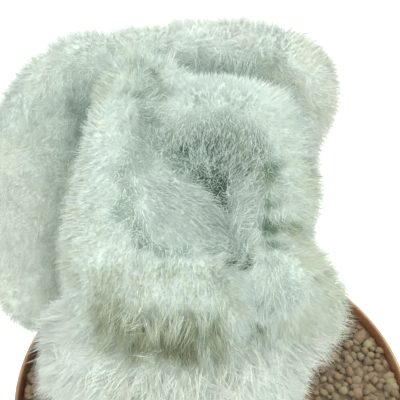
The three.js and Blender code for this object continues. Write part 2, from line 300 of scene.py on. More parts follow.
def pot_floor(edge):
    """The floor inside the wall. Each eighth of it is a surface of two parameters: one runs
    round the drainage hole, the other from the hole's edge out to the eighth's own border,
    first along the underside, then up the hole and back along the upper side."""
    per_arc = POT_AROUND // DRAIN_HOLES
    half = math.pi / DRAIN_HOLES
    core = DRAIN_CIRCLE - DRAIN_ZONE
    arc = np.linspace(-half, half, per_arc + 1)
    outer = np.stack([edge * np.cos(arc), edge * np.sin(arc)], -1)
    sweep = np.linspace(half, -half, per_arc + 1)
    inner = np.stack([core * np.cos(sweep), core * np.sin(sweep)], -1)
    steps = np.linspace(0, 1, BORDER_STEPS)[1:-1, None]
    down = outer[-1] + (inner[0] - outer[-1]) * steps
    up = inner[-1] + (outer[0] - inner[-1]) * steps
    border = np.vstack([outer, down, inner, up])
    centre = np.array([DRAIN_CIRCLE, 0.0])
    bearing = np.arctan2(*(border - centre).T[::-1])
    hole = centre + DRAIN_RADIUS * np.stack([np.cos(bearing), np.sin(bearing)], -1)
    share = np.linspace(1, 0, SHEET_RINGS)[:, None, None]
    sheet = hole + (border - hole) * share
    low = np.concatenate([sheet, np.zeros((*sheet.shape[:2], 1))], -1)
    high = low[::-1] + (0, 0, FLOOR_THICK)
    eighth = np.concatenate([low, high])
    faces = grid_faces(len(eighth), len(border), True)
    points, quads = [], []
    for number in range(DRAIN_HOLES):
        turn = (number + 0.5) * 2 * half
        spin = np.array([[math.cos(turn), math.sin(turn), 0],
                         [-math.sin(turn), math.cos(turn), 0], [0, 0, 1]])
        quads.append(faces + len(points) * eighth.shape[0] * eighth.shape[1])
        points.append((eighth @ spin).reshape(-1, 3))
    disc = turn_profile(np.array([(core, 0), (core / 2, 0), (DISC_POLE, 0)]), POT_AROUND)
    for height, order in ((0, slice(None)), (FLOOR_THICK, slice(None, None, -1))):
        quads.append(grid_faces(3, POT_AROUND, True)[:, order] + sum(map(len, points)))
        points.append((disc + (0, 0, height)).reshape(-1, 3))
    return np.vstack(points), np.vstack(quads)


def weathering():
    """A shader group used by the pot, the grit and the stem: fine speckle, soft cloudy patches
    from 0 to 1, and both together as a height for a bump."""
    tree = bpy.data.node_groups.new("weathering", "ShaderNodeTree")
    for name, value in (("Speckle Scale", 900.0), ("Patch Scale", 60.0)):
        socket = tree.interface.new_socket(name, in_out="INPUT", socket_type="NodeSocketFloat")
        socket.default_value = value
    tree.interface.new_socket("Vector", in_out="INPUT", socket_type="NodeSocketVector")
    for name in ("Speckle", "Patches", "Height"):
        tree.interface.new_socket(name, in_out="OUTPUT", socket_type="NodeSocketFloat")
    graph = Graph(tree)
    come = graph.add("NodeGroupInput").outputs
    fine = graph.noise(come["Speckle Scale"], 3.0, come["Vector"])
    broad = graph.noise(come["Patch Scale"], 5.0, come["Vector"], 0.62)
    height = graph.math("ADD", graph.math("MULTIPLY", fine, 0.4), broad)
    masks = {"Speckle": fine, "Patches": graph.spread(broad, 0.35, 0.68), "Height": height}
    graph.fed("NodeGroupOutput", masks)
    return tree


WEATHERING = weathering()


def worn(graph, speckle, patch):
    """Places the weathering group on the piece's own Object coordinates."""
    where = graph.add("ShaderNodeTexCoord").outputs["Object"]
    inputs = {"Speckle Scale": speckle, "Patch Scale": patch, "Vector": where}
    return graph.fed("ShaderNodeGroup", inputs, node_tree=WEATHERING).outputs, where


def pot_plastic():
    """Terracotta brown with soft cloudy tone, faint pale lime where water dried near the
    lip, a moulded fine grain, and a satin gloss that varies with the clouds."""
    material, graph, shader = new_material("pot_plastic", 0.4)
    wear, where = worn(graph, 1400.0, 45.0)
    base = graph.ramp(wear["Patches"], [
        (0.0, (0.26, 0.10, 0.045)), (0.5, (0.32, 0.135, 0.062)), (1.0, (0.37, 0.175, 0.09))])
    height = graph.fed("ShaderNodeSeparateXYZ", {"Vector": where}).outputs["Z"]
    near_lip = graph.spread(height, POT_HEIGHT - LIME_DEPTH, POT_HEIGHT)
    cloudy = graph.math("MULTIPLY", graph.math("ADD", wear["Patches"], 0.6), 0.5)
    colour = graph.mix("MIX", graph.math("MULTIPLY", cloudy, near_lip), base, (0.53, 0.38, 0.22))
    grain = graph.ramp(wear["Speckle"], [(0.3, (0.86, 0.86, 0.86)), (0.7, (1.08, 1.08, 1.08))])
    graph.feed(shader.inputs["Base Color"], graph.mix("MULTIPLY", 1.0, colour, grain))
    graph.feed(shader.inputs["Roughness"], graph.spread(wear["Patches"], 0, 1, 0.32, 0.55))
    graph.feed(shader.inputs["Normal"], graph.bump(wear["Height"], 0.25, 0.2 * MM))
    return material


def make_pot():
    wall_points, wall_faces, edge = pot_wall()
    floor_points, floor_faces = pot_floor(edge)
    pot = put_mesh("plastic_pot", np.vstack([wall_points, floor_points]),
                   np.vstack([wall_faces, floor_faces + len(wall_points)]))
    weld = pot.modifiers.new("weld", "WELD")
    weld.merge_threshold = WELD_REACH
    pot.data.materials.append(pot_plastic())
    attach(pot, "root")
    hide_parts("pot")


make_pot()

# ---- Gravel ----------------------------------------------------------------------------
# Loose crushed stones of about 2 to 5 mm in grey, tan, pinkish and a few yellowish tones,
# over a dark bed of finer grit that fills the pot. Nothing holds them.

BED_TOP = 108.1 * MM
STONE_PITCH = 3.3 * MM
STONE_SIZE = 3.8 * MM
STONE_HEIGHT = 108.4 * MM
STONE_CAP = 111.0 * MM
STONE_SHIFT = 0.26
WALL_GAP = 0.5 * MM
WALL_TOUCH = 0.2 * MM
STONE_REACH = 0.46
CHART_REACH = 0.46
SIZE_SPREAD = 0.24
SIZE_LIMITS = (0.55, 1.5)
HEIGHT_SPREAD = 0.45 * MM
SQUASH = (0.66, 1.16)
LUMPS = 3
LUMP_WAVES = 2.1
LUMP_DEPTH = 0.15
NECK_PLACE = (-10 * MM, 2 * MM)
NECK_REACH = (30 * MM, 21 * MM)
TONE_CELLS = 8
GRIT_RINGS = 24
GRIT_AROUND = 96
GRIT_GAP = 0.3 * MM
GRIT_POLE = 0.5 * MM
GRIT_RISE = 0.35 * MM
GRIT_WAVES = (1.9 / MM, 2.3 / MM)


def ball_of_quads(cuts):
    """A unit ball from a cube whose sides are cut into cuts by cuts quads, each point pushed
    out to length 1. Gives points and faces, with the edges of the cube's sides merged."""
    line = np.linspace(-1, 1, cuts + 1)
    a, b = np.meshgrid(line, line, indexing="ij")
    one = np.ones_like(a)
    sides = [(one, a, b), (-one, b, a), (b, one, a), (a, -one, b), (a, b, one), (b, a, -one)]
    points = np.concatenate([np.stack(side, -1).reshape(-1, 3) for side in sides])
    faces = grid_faces(cuts + 1, cuts + 1, False)
    quads = np.concatenate([faces + k * (cuts + 1) ** 2 for k in range(6)])
    unique, where = np.unique(np.round(points, 6), axis=0, return_inverse=True)
    quads = where.ravel()[quads]
    middle = unique[quads].mean(1)
    lean = np.cross(unique[quads[:, 1]] - unique[quads[:, 0]], unique[quads[:, 2]] - unique[quads[:, 0]])
    inward = (lean * middle).sum(1) < 0
    quads[inward] = quads[inward][:, ::-1]
    return unique / np.linalg.norm(unique, axis=1, keepdims=True), quads


def random_turns(count, rng):
    """Turn matrices spread evenly over all directions, from unit quaternions."""
    w, x, y, z = rng.normal(size=(4, count))
    size = np.sqrt(w * w + x * x + y * y + z * z)
    w, x, y, z = w / size, x / size, y / size, z / size
    rows = [1 - 2 * (y * y + z * z), 2 * (x * y - z * w), 2 * (x * z + y * w),
            2 * (x * y + z * w), 1 - 2 * (x * x + z * z), 2 * (y * z - x * w),
            2 * (x * z - y * w), 2 * (y * z + x * w), 1 - 2 * (x * x + y * y)]
    return np.stack(rows, -1).reshape(-1, 3, 3)


def stone_places(rng):
    """Middles of the stones: a lattice of triangles with every middle shifted at random,
    cut to the inside of the pot and left out under the cactus's neck."""
    count = int(POT_RIM / STONE_PITCH) + 2
    i, j = np.meshgrid(np.arange(-count, count + 1), np.arange(-count, count + 1))
    x = (i + 0.5 * (j % 2)) * STONE_PITCH
    y = j * STONE_PITCH * math.sqrt(3) / 2
    place = np.stack([x.ravel(), y.ravel()], -1)
    place += rng.uniform(-STONE_SHIFT, STONE_SHIFT, place.shape) * STONE_PITCH
    inside = np.hypot(*place.T) < POT_RIM - POT_WALL - WALL_GAP
    under = np.hypot(*((place - NECK_PLACE) / NECK_REACH).T) < 1
    return place[inside & ~under]


def lay_chart(piece, places):
    """Gives the piece a UV map, in which each of its points has one place."""
    layer = piece.data.uv_layers.new(name="OFBake")
    corner = np.zeros(len(piece.data.loops), np.int32)
    piece.data.loops.foreach_get("vertex_index", corner)
    layer.data.foreach_set("uv", places[corner].astype(np.float32).ravel())


def make_stones():
    """A stone is a ball whose radius swells and sinks with three sine waves that run across
    it in any direction. It is squashed along its own axes and turned at random."""
    rng = np.random.default_rng(31)
    ball, quads = ball_of_quads(2)
    middle = stone_places(rng)
    count = len(middle)
    size = STONE_SIZE * np.clip(rng.normal(1.0, SIZE_SPREAD, count), *SIZE_LIMITS)
    height = STONE_HEIGHT + rng.normal(0, HEIGHT_SPREAD, count)
    height = np.minimum(height, STONE_CAP - size / 2)
    away = np.hypot(*middle.T)
    kept = np.minimum(away, POT_RIM - POT_WALL + WALL_TOUCH - STONE_REACH * size)
    middle *= (kept / away)[:, None]
    squash = rng.uniform(*SQUASH, (count, 1, 3))
    lumps = np.zeros((count, len(ball)))
    for _ in range(LUMPS):
        way = rng.normal(size=(count, 3)) * LUMP_WAVES
        wave = np.einsum("nk,mk->nm", way, ball) + rng.uniform(0, 6.3, (count, 1))
        lumps += LUMP_DEPTH * np.sin(wave)
    shape = ball[None] * (1 + lumps)[..., None] * squash * (size / 2)[:, None, None]
    shape = np.einsum("nmk,nkl->nml", shape, random_turns(count, rng))
    points = shape + np.column_stack([middle, height])[:, None, :]
    faces = quads[None] + (np.arange(count) * len(ball))[:, None, None]
    stones = put_mesh("gravel_stones", points.reshape(-1, 3), faces.reshape(-1, 4))
    # Each stone takes one square of a chart of tones, and lies flat in it.
    square = rng.integers(0, TONE_CELLS, (count, 1, 2))
    inside = 0.5 + CHART_REACH * ball[None, :, :2]
    lay_chart(stones, ((square + inside) / TONE_CELLS).reshape(-1, 2))
    stones.data.materials.append(stone_finish())
    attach(stones, "root")
    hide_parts("substrate")


def stone_finish():
    """Every square of the chart gives one stone's tone. Inside it, soft patches and dark
    and pale grains follow the chart, with a rough broken surface."""
    material, graph, shader = new_material("gravel_stone", 0.85)
    chart = graph.add("ShaderNodeUVMap", uv_map="OFBake").outputs["UV"]
    big = graph.fed("ShaderNodeVectorMath", {"Vector": chart, "Scale": TONE_CELLS}, operation="SCALE")
    cell = graph.fed("ShaderNodeVectorMath", {"Vector": big.outputs[0]}, operation="FLOOR")
    tone = graph.fed("ShaderNodeTexWhiteNoise", {"Vector": cell.outputs[0]}, noise_dimensions="2D")
    base = graph.ramp(tone.outputs["Value"], [
        (0.0, (0.185, 0.132, 0.078)), (0.15, (0.235, 0.16, 0.092)), (0.3, (0.25, 0.186, 0.102)),
        (0.45, (0.21, 0.16, 0.10)), (0.6, (0.28, 0.19, 0.11)), (0.75, (0.235, 0.187, 0.12)),
        (0.9, (0.275, 0.21, 0.12)), (0.985, (0.26, 0.196, 0.11)), (1.0, (0.33, 0.29, 0.16))])
    patch = graph.noise(26.0, 4.0, chart, 0.6)
    grain = graph.noise(120.0, 3.0, chart, 0.6)
    shade = graph.ramp(patch, [(0.3, (0.86, 0.85, 0.84)), (0.7, (1.08, 1.08, 1.08))])
    fleck = graph.ramp(grain, [(0.32, (0.75, 0.73, 0.71)), (0.45, (1, 1, 1)), (0.62, (1, 1, 1)),
                               (0.72, (1.25, 1.22, 1.18))])
    colour = graph.mix("MULTIPLY", 1.0, base, shade)
    graph.feed(shader.inputs["Base Color"], graph.mix("MULTIPLY", 1.0, colour, fleck))
    graph.feed(shader.inputs["Roughness"], graph.spread(patch, 0, 1, 0.7, 0.95))
    height = graph.math("ADD", patch, graph.math("MULTIPLY", grain, 0.4))
    graph.feed(shader.inputs["Normal"], graph.bump(height, 0.5, 0.4 * MM))
    return material


def grit_finish():
    """Dark damp grit between and under the stones."""
    material, graph, shader = new_material("grit", 0.9)
    wear, _ = worn(graph, 2600.0, 420.0)
    base = graph.ramp(wear["Patches"], [
        (0.0, (0.125, 0.087, 0.05)), (0.6, (0.172, 0.122, 0.07)), (1.0, (0.21, 0.152, 0.09))])
    graph.feed(shader.inputs["Base Color"], base)
    graph.feed(shader.inputs["Normal"], graph.bump(wear["Height"], 0.6, 0.6 * MM))
    return material


def make_grit():
    """The bed: a turned solid that follows the inside of the pot. Crossed sine waves roughen
    its top inside the outermost ring."""
    reach = POT_RIM - POT_WALL - GRIT_GAP
    rings = np.linspace(reach, GRIT_POLE, GRIT_RINGS)
    top = np.column_stack([rings, np.full(GRIT_RINGS, BED_TOP)])
    low = [(GRIT_POLE, FLOOR_THICK + GRIT_GAP),
           (inner_radius(FLOOR_THICK) - GRIT_GAP, FLOOR_THICK + GRIT_GAP),
           (inner_radius(BAND_FOOT - MM) - GRIT_GAP, BAND_FOOT - MM), (reach, BAND_FOOT + 2 * MM)]
    grid = turn_profile(np.vstack([low, top]), GRIT_AROUND)
    rough = GRIT_RISE * np.sin(grid[..., 0] * GRIT_WAVES[0]) * np.sin(grid[..., 1] * GRIT_WAVES[1])
    inner = len(low) + 1
    grid[inner:, :, 2] += rough[inner:]
    bed = put_mesh("grit_bed", grid.reshape(-1, 3), grid_faces(len(grid), GRIT_AROUND, True))
    bed.data.materials.append(grit_finish())
    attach(bed, "root")
    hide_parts("substrate")


make_grit()
make_stones()

# ---- Cactus stem -----------------------------------------------------------------------
# The living stem: one ribbon of growth, folded on itself into thick fans, grey-green and
# finely ribbed from crown to foot. It grew as one piece and stands on a short root neck.

# The fans, in mm: a row of radii, the points that the crown runs through, and x and y of the
# points that the foot runs through. Each row is spread evenly over the fan's length.
FOLDS = {
    "wing": {
        "radius": [6, 7, 8, 8, 8, 8, 8, 8, 8, 8, 8, 8, 7],
        "crown": [[-67, 9, 127], [-73, 18, 143], [-75, 25, 160], [-74, 32, 176], [-69, 38, 190],
                  [-60, 43, 202], [-47, 46, 210], [-32, 47, 212], [-16, 47, 215], [0, 46, 217],
                  [15, 43, 216], [25, 38, 210], [28, 33, 202]],
        "foot": [[-38, 8], [-39, 12], [-38, 15], [-36, 18], [-33, 21], [-29, 23], [-24, 25],
                 [-18, 26], [-11, 26], [-5, 25], [-1, 23], [3, 20], [5, 16]]},
    "left_roll": {
        "radius": [6, 6.5, 6.5, 6.5, 6, 6, 6.5, 6.5, 6.5, 6.5],
        "crown": [[-10, 17, 211], [-19, 21, 216], [-28, 20, 218], [-31, 9, 213], [-33, -1, 205],
                  [-35, -10, 196], [-34, -20, 189], [-23, -27, 186], [-10, -29, 187], [5, -28, 186]],
        "foot": [[-10, 11], [-18, 9], [-25, 5], [-30, 0], [-34, -5], [-34, -9], [-30, -12],
                 [-21, -13], [-8, -14], [4, -14]]},
    "right_roll": {
        "radius": [5.5, 6.5, 7, 7, 7, 7, 7],
        "crown": [[-21, 9, 209], [-14, 11, 215], [-4, 12, 217], [8, 8, 215], [12, 4, 211],
                  [14, -5, 202], [17, -12, 194]],
        "foot": [[-12, 8], [-7, 8], [-2, 7], [3, 4], [7, 0], [9, -5], [10, -9]]},
    "low_right": {
        "radius": [6.5, 7.5, 8, 7],
        "crown": [[3, -23, 187], [15, -19, 187], [23, -20, 178], [26, -24, 165]],
        "foot": [[6, -9], [10, -10], [12, -13], [11, -16]]},
    "tongue": {
        "radius": [6, 7, 5],
        "crown": [[-34, -4, 198], [-20, -8, 197], [-4, -12, 195]],
        "foot": [[-20, 0], [-14, -4], [-8, -6]]},
    "rib": {
        "radius": [4, 4.5, 4.5],
        "crown": [[4, 4, 202], [5, -8, 195], [5, -18, 188]],
        "foot": [[0, 2], [0, -4], [0, -10]]},
    "heart": {
        "radius": [8, 8, 8],
        "crown": [[-24, 6, 203], [-11, 5, 198], [5, 3, 196]],
        "foot": [[-20, 2], [-11, 2], [2, 0]]},
    "lap": {
        "radius": [6, 6, 5],
        "crown": [[-30, -14, 193], [-16, -18, 191], [-1, -19, 189]],
        "foot": [[-22, -6], [-12, -8], [-4, -9]]},
    "skirt": {
        "radius": [8, 9, 9, 9, 8],
        "crown": [[-42, -12, 157], [-38, -24, 160], [-14, -31, 160], [8, -30, 158], [21, -22, 154]],
        "foot": [[-38, -12], [-33, -20], [-12, -23], [6, -22], [13, -15]]},
}
STEM_BOTTOM = 110.2 * MM
WOOL_MAT = 1.6 * MM
RIB_PITCH = 5.6 * MM
RIB_RISE = 0.7 * MM
FAN_STEP = 0.8 * MM
ARC_POINTS = 13
LINE_POINTS = 400
TINY_STEP = 1e-3
NECK_SPAN = (90 * MM, 118 * MM)
NECK_AROUND = 48
SKIN_STEP = 2.0 * MM
SKIN_EASE = 14


def unit(vectors):
    """Each vector divided by its own length."""
    return vectors / np.maximum(np.linalg.norm(vectors, axis=-1, keepdims=True), 1e-12)


def curve(points, t):
    """A uniform Catmull-Rom curve through the points, at t from 0 to 1. The ends are carried
    on by mirroring the point next to the end in it."""
    points = np.asarray(points, float)
    held = np.vstack([2 * points[0] - points[1], points, 2 * points[-1] - points[-2]])
    place = t * (len(points) - 1)
    low = np.clip(place.astype(int), 0, len(points) - 2)
    u = (place - low)[:, None]
    a, b, c, d = (held[low + k] for k in range(4))
    return 0.5 * (2 * b + (c - a) * u + (2 * a - 5 * b + 4 * c - d) * u ** 2
                  + (3 * b - a - 3 * c + d) * u ** 3)


class Fold:
    """One thick fan. A section across it at t is two half circles, round the crown point and
    round the foot point, joined by straight sides."""

    def __init__(self, name):
        form = FOLDS[name]
        self.radii = np.array(form["radius"]) * MM
        self.crown_points = np.array(form["crown"]) * MM
        foot = np.array(form["foot"]) * MM
        self.foot_points = np.column_stack([foot, STEM_BOTTOM + WOOL_MAT + self.radii])
        line = curve(self.crown_points, np.linspace(0, 1, LINE_POINTS))
        self.reach = np.linalg.norm(np.diff(line, axis=0), axis=1).sum()
        self.ribs = max(2, round(self.reach / RIB_PITCH))

    def skin(self, t, angle, drop):
        """Points of the skin and the way down the fan at each. Angle is 0 over the crown and
        a quarter turn on a side; drop is 0 at the crown, 1 at the foot."""
        top = curve(self.crown_points, t)
        bottom = curve(self.foot_points, t)
        ahead = curve(self.crown_points, np.clip(t + TINY_STEP, 0, 1))
        behind = curve(self.crown_points, np.clip(t - TINY_STEP, 0, 1))
        tangent = unit(ahead - behind)
        up = unit(top - bottom)
        side = unit(np.cross(tangent, up))
        radius = np.interp(t, np.linspace(0, 1, len(self.radii)), self.radii)
        inside = np.clip(1 - np.minimum(t, 1 - t) * self.reach / radius, 0, 1)
        share = np.sqrt(1 - inside ** 2)
        rib = RIB_RISE * np.cos(2 * np.pi * (t * self.ribs - 0.5)) * np.abs(np.sin(angle))
        spoke = up * np.cos(angle)[:, None] + side * np.sin(angle)[:, None]
        middle = top + (bottom - top) * drop[:, None]
        points = middle + spoke * ((radius + rib + WOOL_MAT) * share)[:, None]
        return points, -up


def fold_surface(fold):
    """A closed grid round the fold: t along it, and the section's outline across it. Each end
    is closed by a fan of triangles about its middle."""
    rows = max(12, int(fold.reach / FAN_STEP))
    across = 2 * ARC_POINTS
    arc = np.linspace(-np.pi / 2, np.pi / 2, ARC_POINTS)
    angle = np.tile(np.r_[arc, arc + np.pi], rows)
    t = np.repeat(np.linspace(0.002, 0.998, rows), across)
    drop = np.tile(np.r_[np.zeros(ARC_POINTS), np.ones(ARC_POINTS)], rows)
    points = fold.skin(t, angle, drop)[0]
    ring = np.arange(across)
    after = (ring + 1) % across
    count = rows * across
    near, far = np.full_like(ring, count), np.full_like(ring, count + 1)
    starts = np.stack([ring, near, after], -1)
    ends = np.stack([ring + count - across, after + count - across, far], -1)
    points = np.vstack([points, points[:across].mean(0), points[-across:].mean(0)])
    return points, grid_faces(rows, across, True), np.vstack([starts, ends])


def neck_surface():
    """An upright oval plug that fills the hole in the gravel, all but closed at its ends."""
    profile = [(0.02, NECK_SPAN[0]), (1, NECK_SPAN[0]), (1, NECK_SPAN[1]), (0.02, NECK_SPAN[1])]
    angle = np.linspace(0, 2 * np.pi, NECK_AROUND, endpoint=False)
    rings = [np.column_stack([NECK_PLACE[0] + share * NECK_REACH[0] * np.cos(angle),
                              NECK_PLACE[1] + share * NECK_REACH[1] * np.sin(angle),
                              np.full(NECK_AROUND, height)]) for share, height in profile]
    return np.vstack(rings), grid_faces(len(profile), NECK_AROUND, True)


def make_stem(folds):
    """The fans and the neck are laid together, wrapped in one even skin, and eased so that
    the valleys between them fill."""
    points, faces = [], []
    for fold in folds:
        surface, quads, caps = fold_surface(fold)
        base = sum(map(len, points))
        faces += (quads + base).tolist() + (caps + base).tolist()
        points.append(surface)
    neck, quads = neck_surface()
    faces += (quads + sum(map(len, points))).tolist()
    points.append(neck)
    mesh = bpy.data.meshes.new("loose_fans")
    mesh.from_pydata(np.vstack(points).tolist(), [], faces)
    loose = bpy.data.objects.new("loose_fans", mesh)
    bpy.context.scene.collection.objects.link(loose)
    wrap = loose.modifiers.new("wrap", "REMESH")
    wrap.mode = "VOXEL"
    wrap.voxel_size = SKIN_STEP
    ease = loose.modifiers.new("ease", "SMOOTH")
    ease.factor = 0.5
    ease.iterations = SKIN_EASE
    wrapped = loose.evaluated_get(bpy.context.evaluated_depsgraph_get())
    skin = bpy.data.meshes.new_from_object(wrapped)
    bpy.data.objects.remove(loose)
    stem = bpy.data.objects.new("cactus_stem", skin)
    bpy.context.scene.collection.objects.link(stem)
    skin.polygons.foreach_set("use_smooth", np.ones(len(skin.polygons), bool))
    skin.materials.append(stem_finish())
    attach(stem, "root")
    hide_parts("cactus")
    return skin


def stem_finish():
    """Dark grey-green skin where the wool parts, its darkness partly the skin's own colour and
    partly painted shade in the gaps, and pale felted wool where it is dense. An attribute of
    the points says how far the felt hides the skin, and so how far painted shade shows."""
    material, graph, shader = new_material("stem_skin", 0.75)
    wear, _ = worn(graph, 1800.0, 160.0)
    # Partly painted shade: the bare skin is near black-green so that gaps in the wool read as shadow.
    bare = graph.ramp(wear["Patches"], [
        (0.0, (0.03, 0.07, 0.035)), (0.5, (0.05, 0.11, 0.06)), (1.0, (0.10, 0.19, 0.12))])
    felt = graph.ramp(wear["Speckle"], [(0.42, (0.66, 0.75, 0.69)), (0.6, (0.70, 0.79, 0.73))])
    felt_and_painted_shade = graph.add("ShaderNodeAttribute", attribute_name="felt_and_painted_shade").outputs["Fac"]
    graph.feed(shader.inputs["Base Color"], graph.mix("MIX", felt_and_painted_shade, bare, felt))
    graph.feed(shader.inputs["Normal"], graph.bump(wear["Height"], 0.6, 0.5 * MM))
    return material


folds = [Fold(name) for name in FOLDS]
skin = make_stem(folds)

# ---- Wool ------------------------------------------------------------------------------
# Fine white hairs that grow from the stem in tufts and locks and hide it, mostly 2.5 to 6.5
# mm long, and past 10 mm in the shaded fold of the front. They lie outward and down, stand
# thin in the hollow, and are combed smooth over the cap above it and the tongue in it. Their
# colour goes grey-green or olive as painted shade in the hollow, the folds and the gaps.

HAIR_LENGTH = 6.6 * MM
HAIR_WIDTH = 0.15 * MM
BENT_HAIRS = 36000
STRAIGHT_HAIRS = 168000
STRAIGHT_SHARE = 0.8
TUFT_PITCH = 1.45 * MM
LOCK_PITCH = 3.2 * MM
SWIRL_PITCH = 8.0 * MM
SOFT_SHADE = 0.965
NORMAL_EASE = 9
SLICE = 4000


def skin_arrays(mesh):
    """The skin as arrays: places and normals of its points, and its triangles. Each normal is
    eased by adding its neighbours' normals to it, over and over."""
    mesh.calc_loop_triangles()
    places = np.zeros(len(mesh.vertices) * 3, np.float32)
    normals = np.zeros(len(mesh.vertices) * 3, np.float32)
    corners = np.zeros(len(mesh.loop_triangles) * 3, np.int32)
    mesh.vertices.foreach_get("co", places)
    mesh.vertices.foreach_get("normal", normals)
    mesh.loop_triangles.foreach_get("vertices", corners)
    edges = np.zeros(len(mesh.edges) * 2, np.int32)
    mesh.edges.foreach_get("vertices", edges)
    start, end = edges.reshape(-1, 2).T
    here, there = np.r_[start, end], np.r_[end, start]
    normals = normals.reshape(-1, 3).astype(float)
    for _ in range(NORMAL_EASE):
        eased = [np.bincount(here, normals[there, k]) for k in range(3)]
        normals = unit(normals + np.stack(eased, -1))
    return places.reshape(-1, 3).astype(float), normals, corners.reshape(-1, 3)


def nearest(points, centres, count):
    """For each point, which centres are its count nearest ones, and how far each is. Squared
    distance is a.a + b.b - 2 a.b, worked out in slices of the points."""
    order, reach = [], []
    square = (centres ** 2).sum(1)
    for low in range(0, len(points), SLICE):
        part = points[low:low + SLICE]
        away = (part ** 2).sum(1)[:, None] + square - 2 * part @ centres.T
        near = np.argpartition(away, count, axis=1)[:, :count]
        order.append(near)
        reach.append(np.take_along_axis(away, near, 1))
    return np.vstack(order), np.sqrt(np.maximum(np.vstack(reach), 0))


COMB_STEP = 2.5 * MM
COMB_ACROSS = 22
COMB_MARKS = 8
COMB_EASE = 1.5 * MM
CROWN_SHARE = 0.45
CROWN_TURN = 2.2
DROP_BEND = 1.2


def comb_field(folds, places, normals):
    """The way the hair runs down the skin at each place: a blend of the ways down the fans at
    the nearest points of the fans' own surfaces. Across a fan, q runs from -1 at one foot to
    1 at the other. It turns over the crown in the middle share, and then drops down a side."""
    marks, ways = [], []
    for fold in folds:
        rows = max(8, int(fold.reach / COMB_STEP))
        t = np.repeat(np.linspace(0.01, 0.99, rows), COMB_ACROSS)
        q = np.tile(np.linspace(-1, 1, COMB_ACROSS), rows)
        angle = np.clip(q * CROWN_TURN, -1, 1) * np.pi / 2
        drop = np.clip((np.abs(q) - CROWN_SHARE) / (1 - CROWN_SHARE), 0, 1) ** DROP_BEND
        points, down = fold.skin(t, angle, drop)
        marks.append(points)
        ways.append(down)
    near, away = nearest(places, np.vstack(marks), COMB_MARKS)
    weight = 1 / (away + COMB_EASE) ** 2
    way = (np.vstack(ways)[near] * weight[..., None]).sum(1) / weight.sum(1)[:, None]
    return unit(way - normals * (way * normals).sum(1)[:, None])
